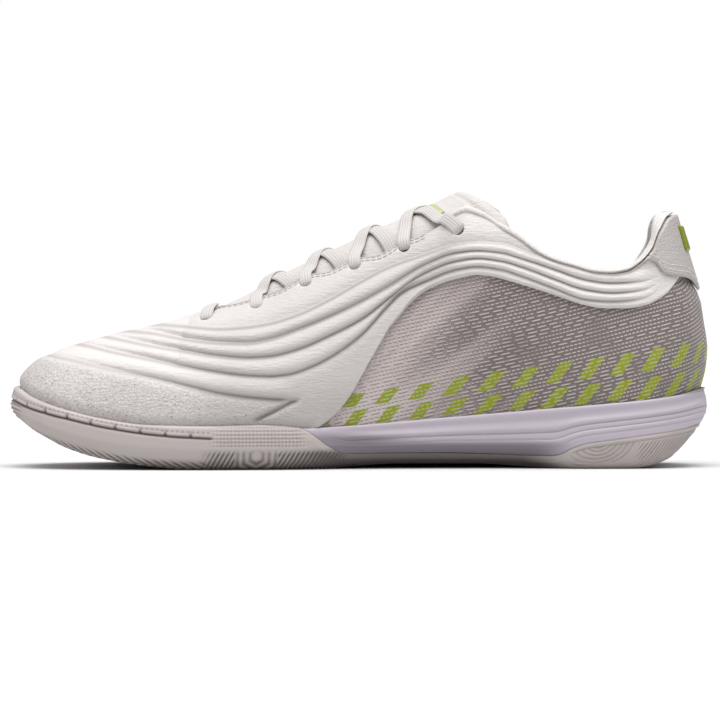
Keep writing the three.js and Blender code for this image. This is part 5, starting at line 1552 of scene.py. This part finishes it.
class SHOE_OT_laces(bpy.types.Operator):
    """Flat laces: a bar at the front and four crossings, each run through its eyelets"""
    bl_idname = "shoe.laces"
    bl_label = "Laces"

    def execute(self, context):
        sizes = context.scene.shoe_sizes
        last = Last(sizes)
        finish = lace_material("polyester lace, flat woven")
        self.width = sizes.lace_width / MM
        self.thick = sizes.lace_thickness / MM
        names = ["lace_bar"] + [f"lace_cross_{i}" for i in range(1, 5)]
        for number, name in enumerate(names):
            final = number == len(names) - 1
            sides = [MEDIAL] if number == 0 else [MEDIAL, LATERAL]
            target = 0 if number == 0 else number + 1
            bands = [self.band(last, number, target, side, number == 0 or final) for side in sides]
            pattern = np.vstack([uv for _, _, uv in bands])
            piece = add_piece(name, *join_solids([band[:2] for band in bands]), pattern)
            dress(piece, [name], finish)
        return {"FINISHED"}

    def band(self, last, start, target, side, over_edge):
        """One strand: out of its eyelet, over the eyestay's edge, across the tongue and down again."""
        lift = self.thick / 2 + 0.35
        high = last.leather_wall + 0.6 + lift
        centres, normals = eyelet_places(last)
        row = 0 if side < 0 else len(EYELETS)
        centre, normal = centres[row + start], normals[row + start]
        far, far_normal = centres[len(EYELETS) - row + target], normals[len(EYELETS) - row + target]
        begin, end = EYELETS[start, 0], EYELETS[target, 0]
        path, ups = [centre - normal * 2.0, centre + normal * (high - 1.2)], [normal, normal]

        def lay(found):
            path.append(found[0])
            ups.append(found[1])

        def on_stay(along, which, z, share, rise):
            """Over the eyestay: at a share of the way from the height z up to its edge."""
            low = last.at_height(np.array([last.at_crest(along)]), which, z)[0]
            lay(last.place(last.at_crest(along), which, low + (1 - low) * share, rise))

        for share in (0.45, 1.0):
            on_stay(begin, side, centre[2], share, high + 0.2)
        if start == target:
            lay(self.on_tongue(last, begin - 0.012, 0.0, lift + 0.4))
            for share in (1.0, 0.45):
                on_stay(end, -side, far[2], share, high + 0.2)
        else:
            stack = 1.0 if side < 0 else 0.0
            route = LAST_ROUTE if over_edge else ROUTE
            if not over_edge:
                route = route + UNDER_ROUTE
            for across, ahead, under in route:
                rise = lift + stack * bump(across, 0, 0.4) if under is None else under
                lay(self.on_tongue(last, begin + (end - begin) * ahead, side * across, rise))
        if over_edge and start != target:
            lay(last.place(last.at_crest(end - 0.014), -side, 1.0, high + 0.3))
            far_t = last.at_height(np.array([last.at_crest(end)]), -side, far[2])[0]
            lay(last.place(last.at_crest(end - 0.006), -side, far_t + (1 - far_t) * 0.45, high + 0.1))
        if over_edge:
            path += [far + far_normal * (high - 0.8), far - far_normal * 2.0]
            ups += [far_normal, far_normal]
        return self.ribbon(np.array(path), np.array(ups))


    @staticmethod
    def on_tongue(last, along, across, lift):
        """A place over the tongue: across is a share of the throat's half width, towards the lateral side."""
        x, y = along * last.length, last.axis(along) + across * last.open_half(along)

        def height(px, py):
            return tongue_height(last, px / last.length, py - last.axis(px / last.length))

        fall = (height(x + 1, y) - height(x - 1, y), height(x, y + 1) - height(x, y - 1))
        up = unit(np.array([-fall[0] / 2, -fall[1] / 2, 1.0]))
        return np.array([x, y, float(height(x, y))]) + up * lift, up

    def ribbon(self, path, ups):
        """A flat band along a path: a rounded section carried along with its width across."""
        count, around = 90, 20
        line = smooth_path(path, count)
        travel = path_length(path)
        length = np.linspace(0, 1, count) * travel[-1]
        up = unit(read_path(np.linspace(0, 1, count), travel / travel[-1], ups))
        ahead = unit(np.gradient(line, axis=0))
        wide = unit(np.cross(ahead, up))
        thick = np.cross(wide, ahead)
        turn = np.linspace(0, 2 * np.pi, around, endpoint=False)
        c, s = np.cos(turn), np.sin(turn)
        x = np.sign(c) * np.abs(c) ** 0.55 * self.width / 2
        y = np.sign(s) * np.abs(s) ** 0.8 * self.thick / 2
        narrow = 1 - 0.28 * (1 - smoothstep(length, 0, 5))[:, None]
        rings = line[:, None] + wide[:, None] * (x * narrow)[..., None] + thick[:, None] * y[None, :, None]
        uv = np.stack(np.broadcast_arrays(length[:, None], x), -1).reshape(-1, 2)
        return *tube(rings), np.vstack([uv, [[0, 0], [travel[-1], 0]]])


class SHOE_OT_stitches(bpy.types.Operator):
    """Two rows of lockstitch along the scalloped edge of each eyestay"""
    bl_idname = "shoe.stitches"
    bl_label = "Eyestay stitches"

    def execute(self, context):
        last = Last(context.scene.shoe_sizes)
        k = last.at_crest(np.linspace(0.3, 0.6, 400))
        seams = []
        for side in (MEDIAL, LATERAL):
            for inward in (1.7, 3.2):
                back = scallop(last, k) + inward
                points, normal = last.place(k, side, 1 - back / curve_lengths(last.section(k, side), 30))
                lift = last.leather_wall + last.relief(points)[0] + CEMENT
                seams.append(stitch_row(points + normal * lift[:, None], normal, 1.0, 2.5, 0.4))
        thread = cloth_material("polyester thread, eyestay", "#cfc8c5", "#a8a09d", 0.5)
        add_stitches("eyestay_stitches", seams, 0.75, 0.6, "upper", thread)
        return {"FINISHED"}


STEPS = (
    SHOE_OT_stage,
    SHOE_OT_quarter_knit,
    SHOE_OT_upper_leather,
    SHOE_OT_outsole,
    SHOE_OT_midsole,
    SHOE_OT_insole,
    SHOE_OT_heel_tab,
    SHOE_OT_collar_lining,
    SHOE_OT_tongue,
    SHOE_OT_laces,
    SHOE_OT_stitches,
)


class SHOE_PT_panel(bpy.types.Panel):
    """Sizes, colours and pieces of the shoe"""
    bl_idname = "SHOE_PT_panel"
    bl_label = "Indoor soccer shoe"
    bl_space_type = "VIEW_3D"
    bl_region_type = "UI"
    bl_category = "Shoe"

    def draw(self, context):
        for group in (context.scene.shoe_sizes, context.scene.shoe_studio):
            for name in group.__annotations__:
                self.layout.prop(group, name)
        for step in STEPS:
            self.layout.operator(step.bl_idname)


CLASSES = (ShoeSizes, ShoeStudio, *STEPS, SHOE_PT_panel)


def register():
    for made in CLASSES:
        bpy.utils.register_class(made)
    bpy.types.Scene.shoe_sizes = bpy.props.PointerProperty(type=ShoeSizes)
    bpy.types.Scene.shoe_studio = bpy.props.PointerProperty(type=ShoeStudio)


def unregister():
    del bpy.types.Scene.shoe_sizes
    del bpy.types.Scene.shoe_studio
    for made in reversed(CLASSES):
        bpy.utils.unregister_class(made)


def main():
    register()
    for step in STEPS:
        family, name = step.bl_idname.split(".")
        getattr(getattr(bpy.ops, family), name)()


if __name__ == "__main__":
    main()
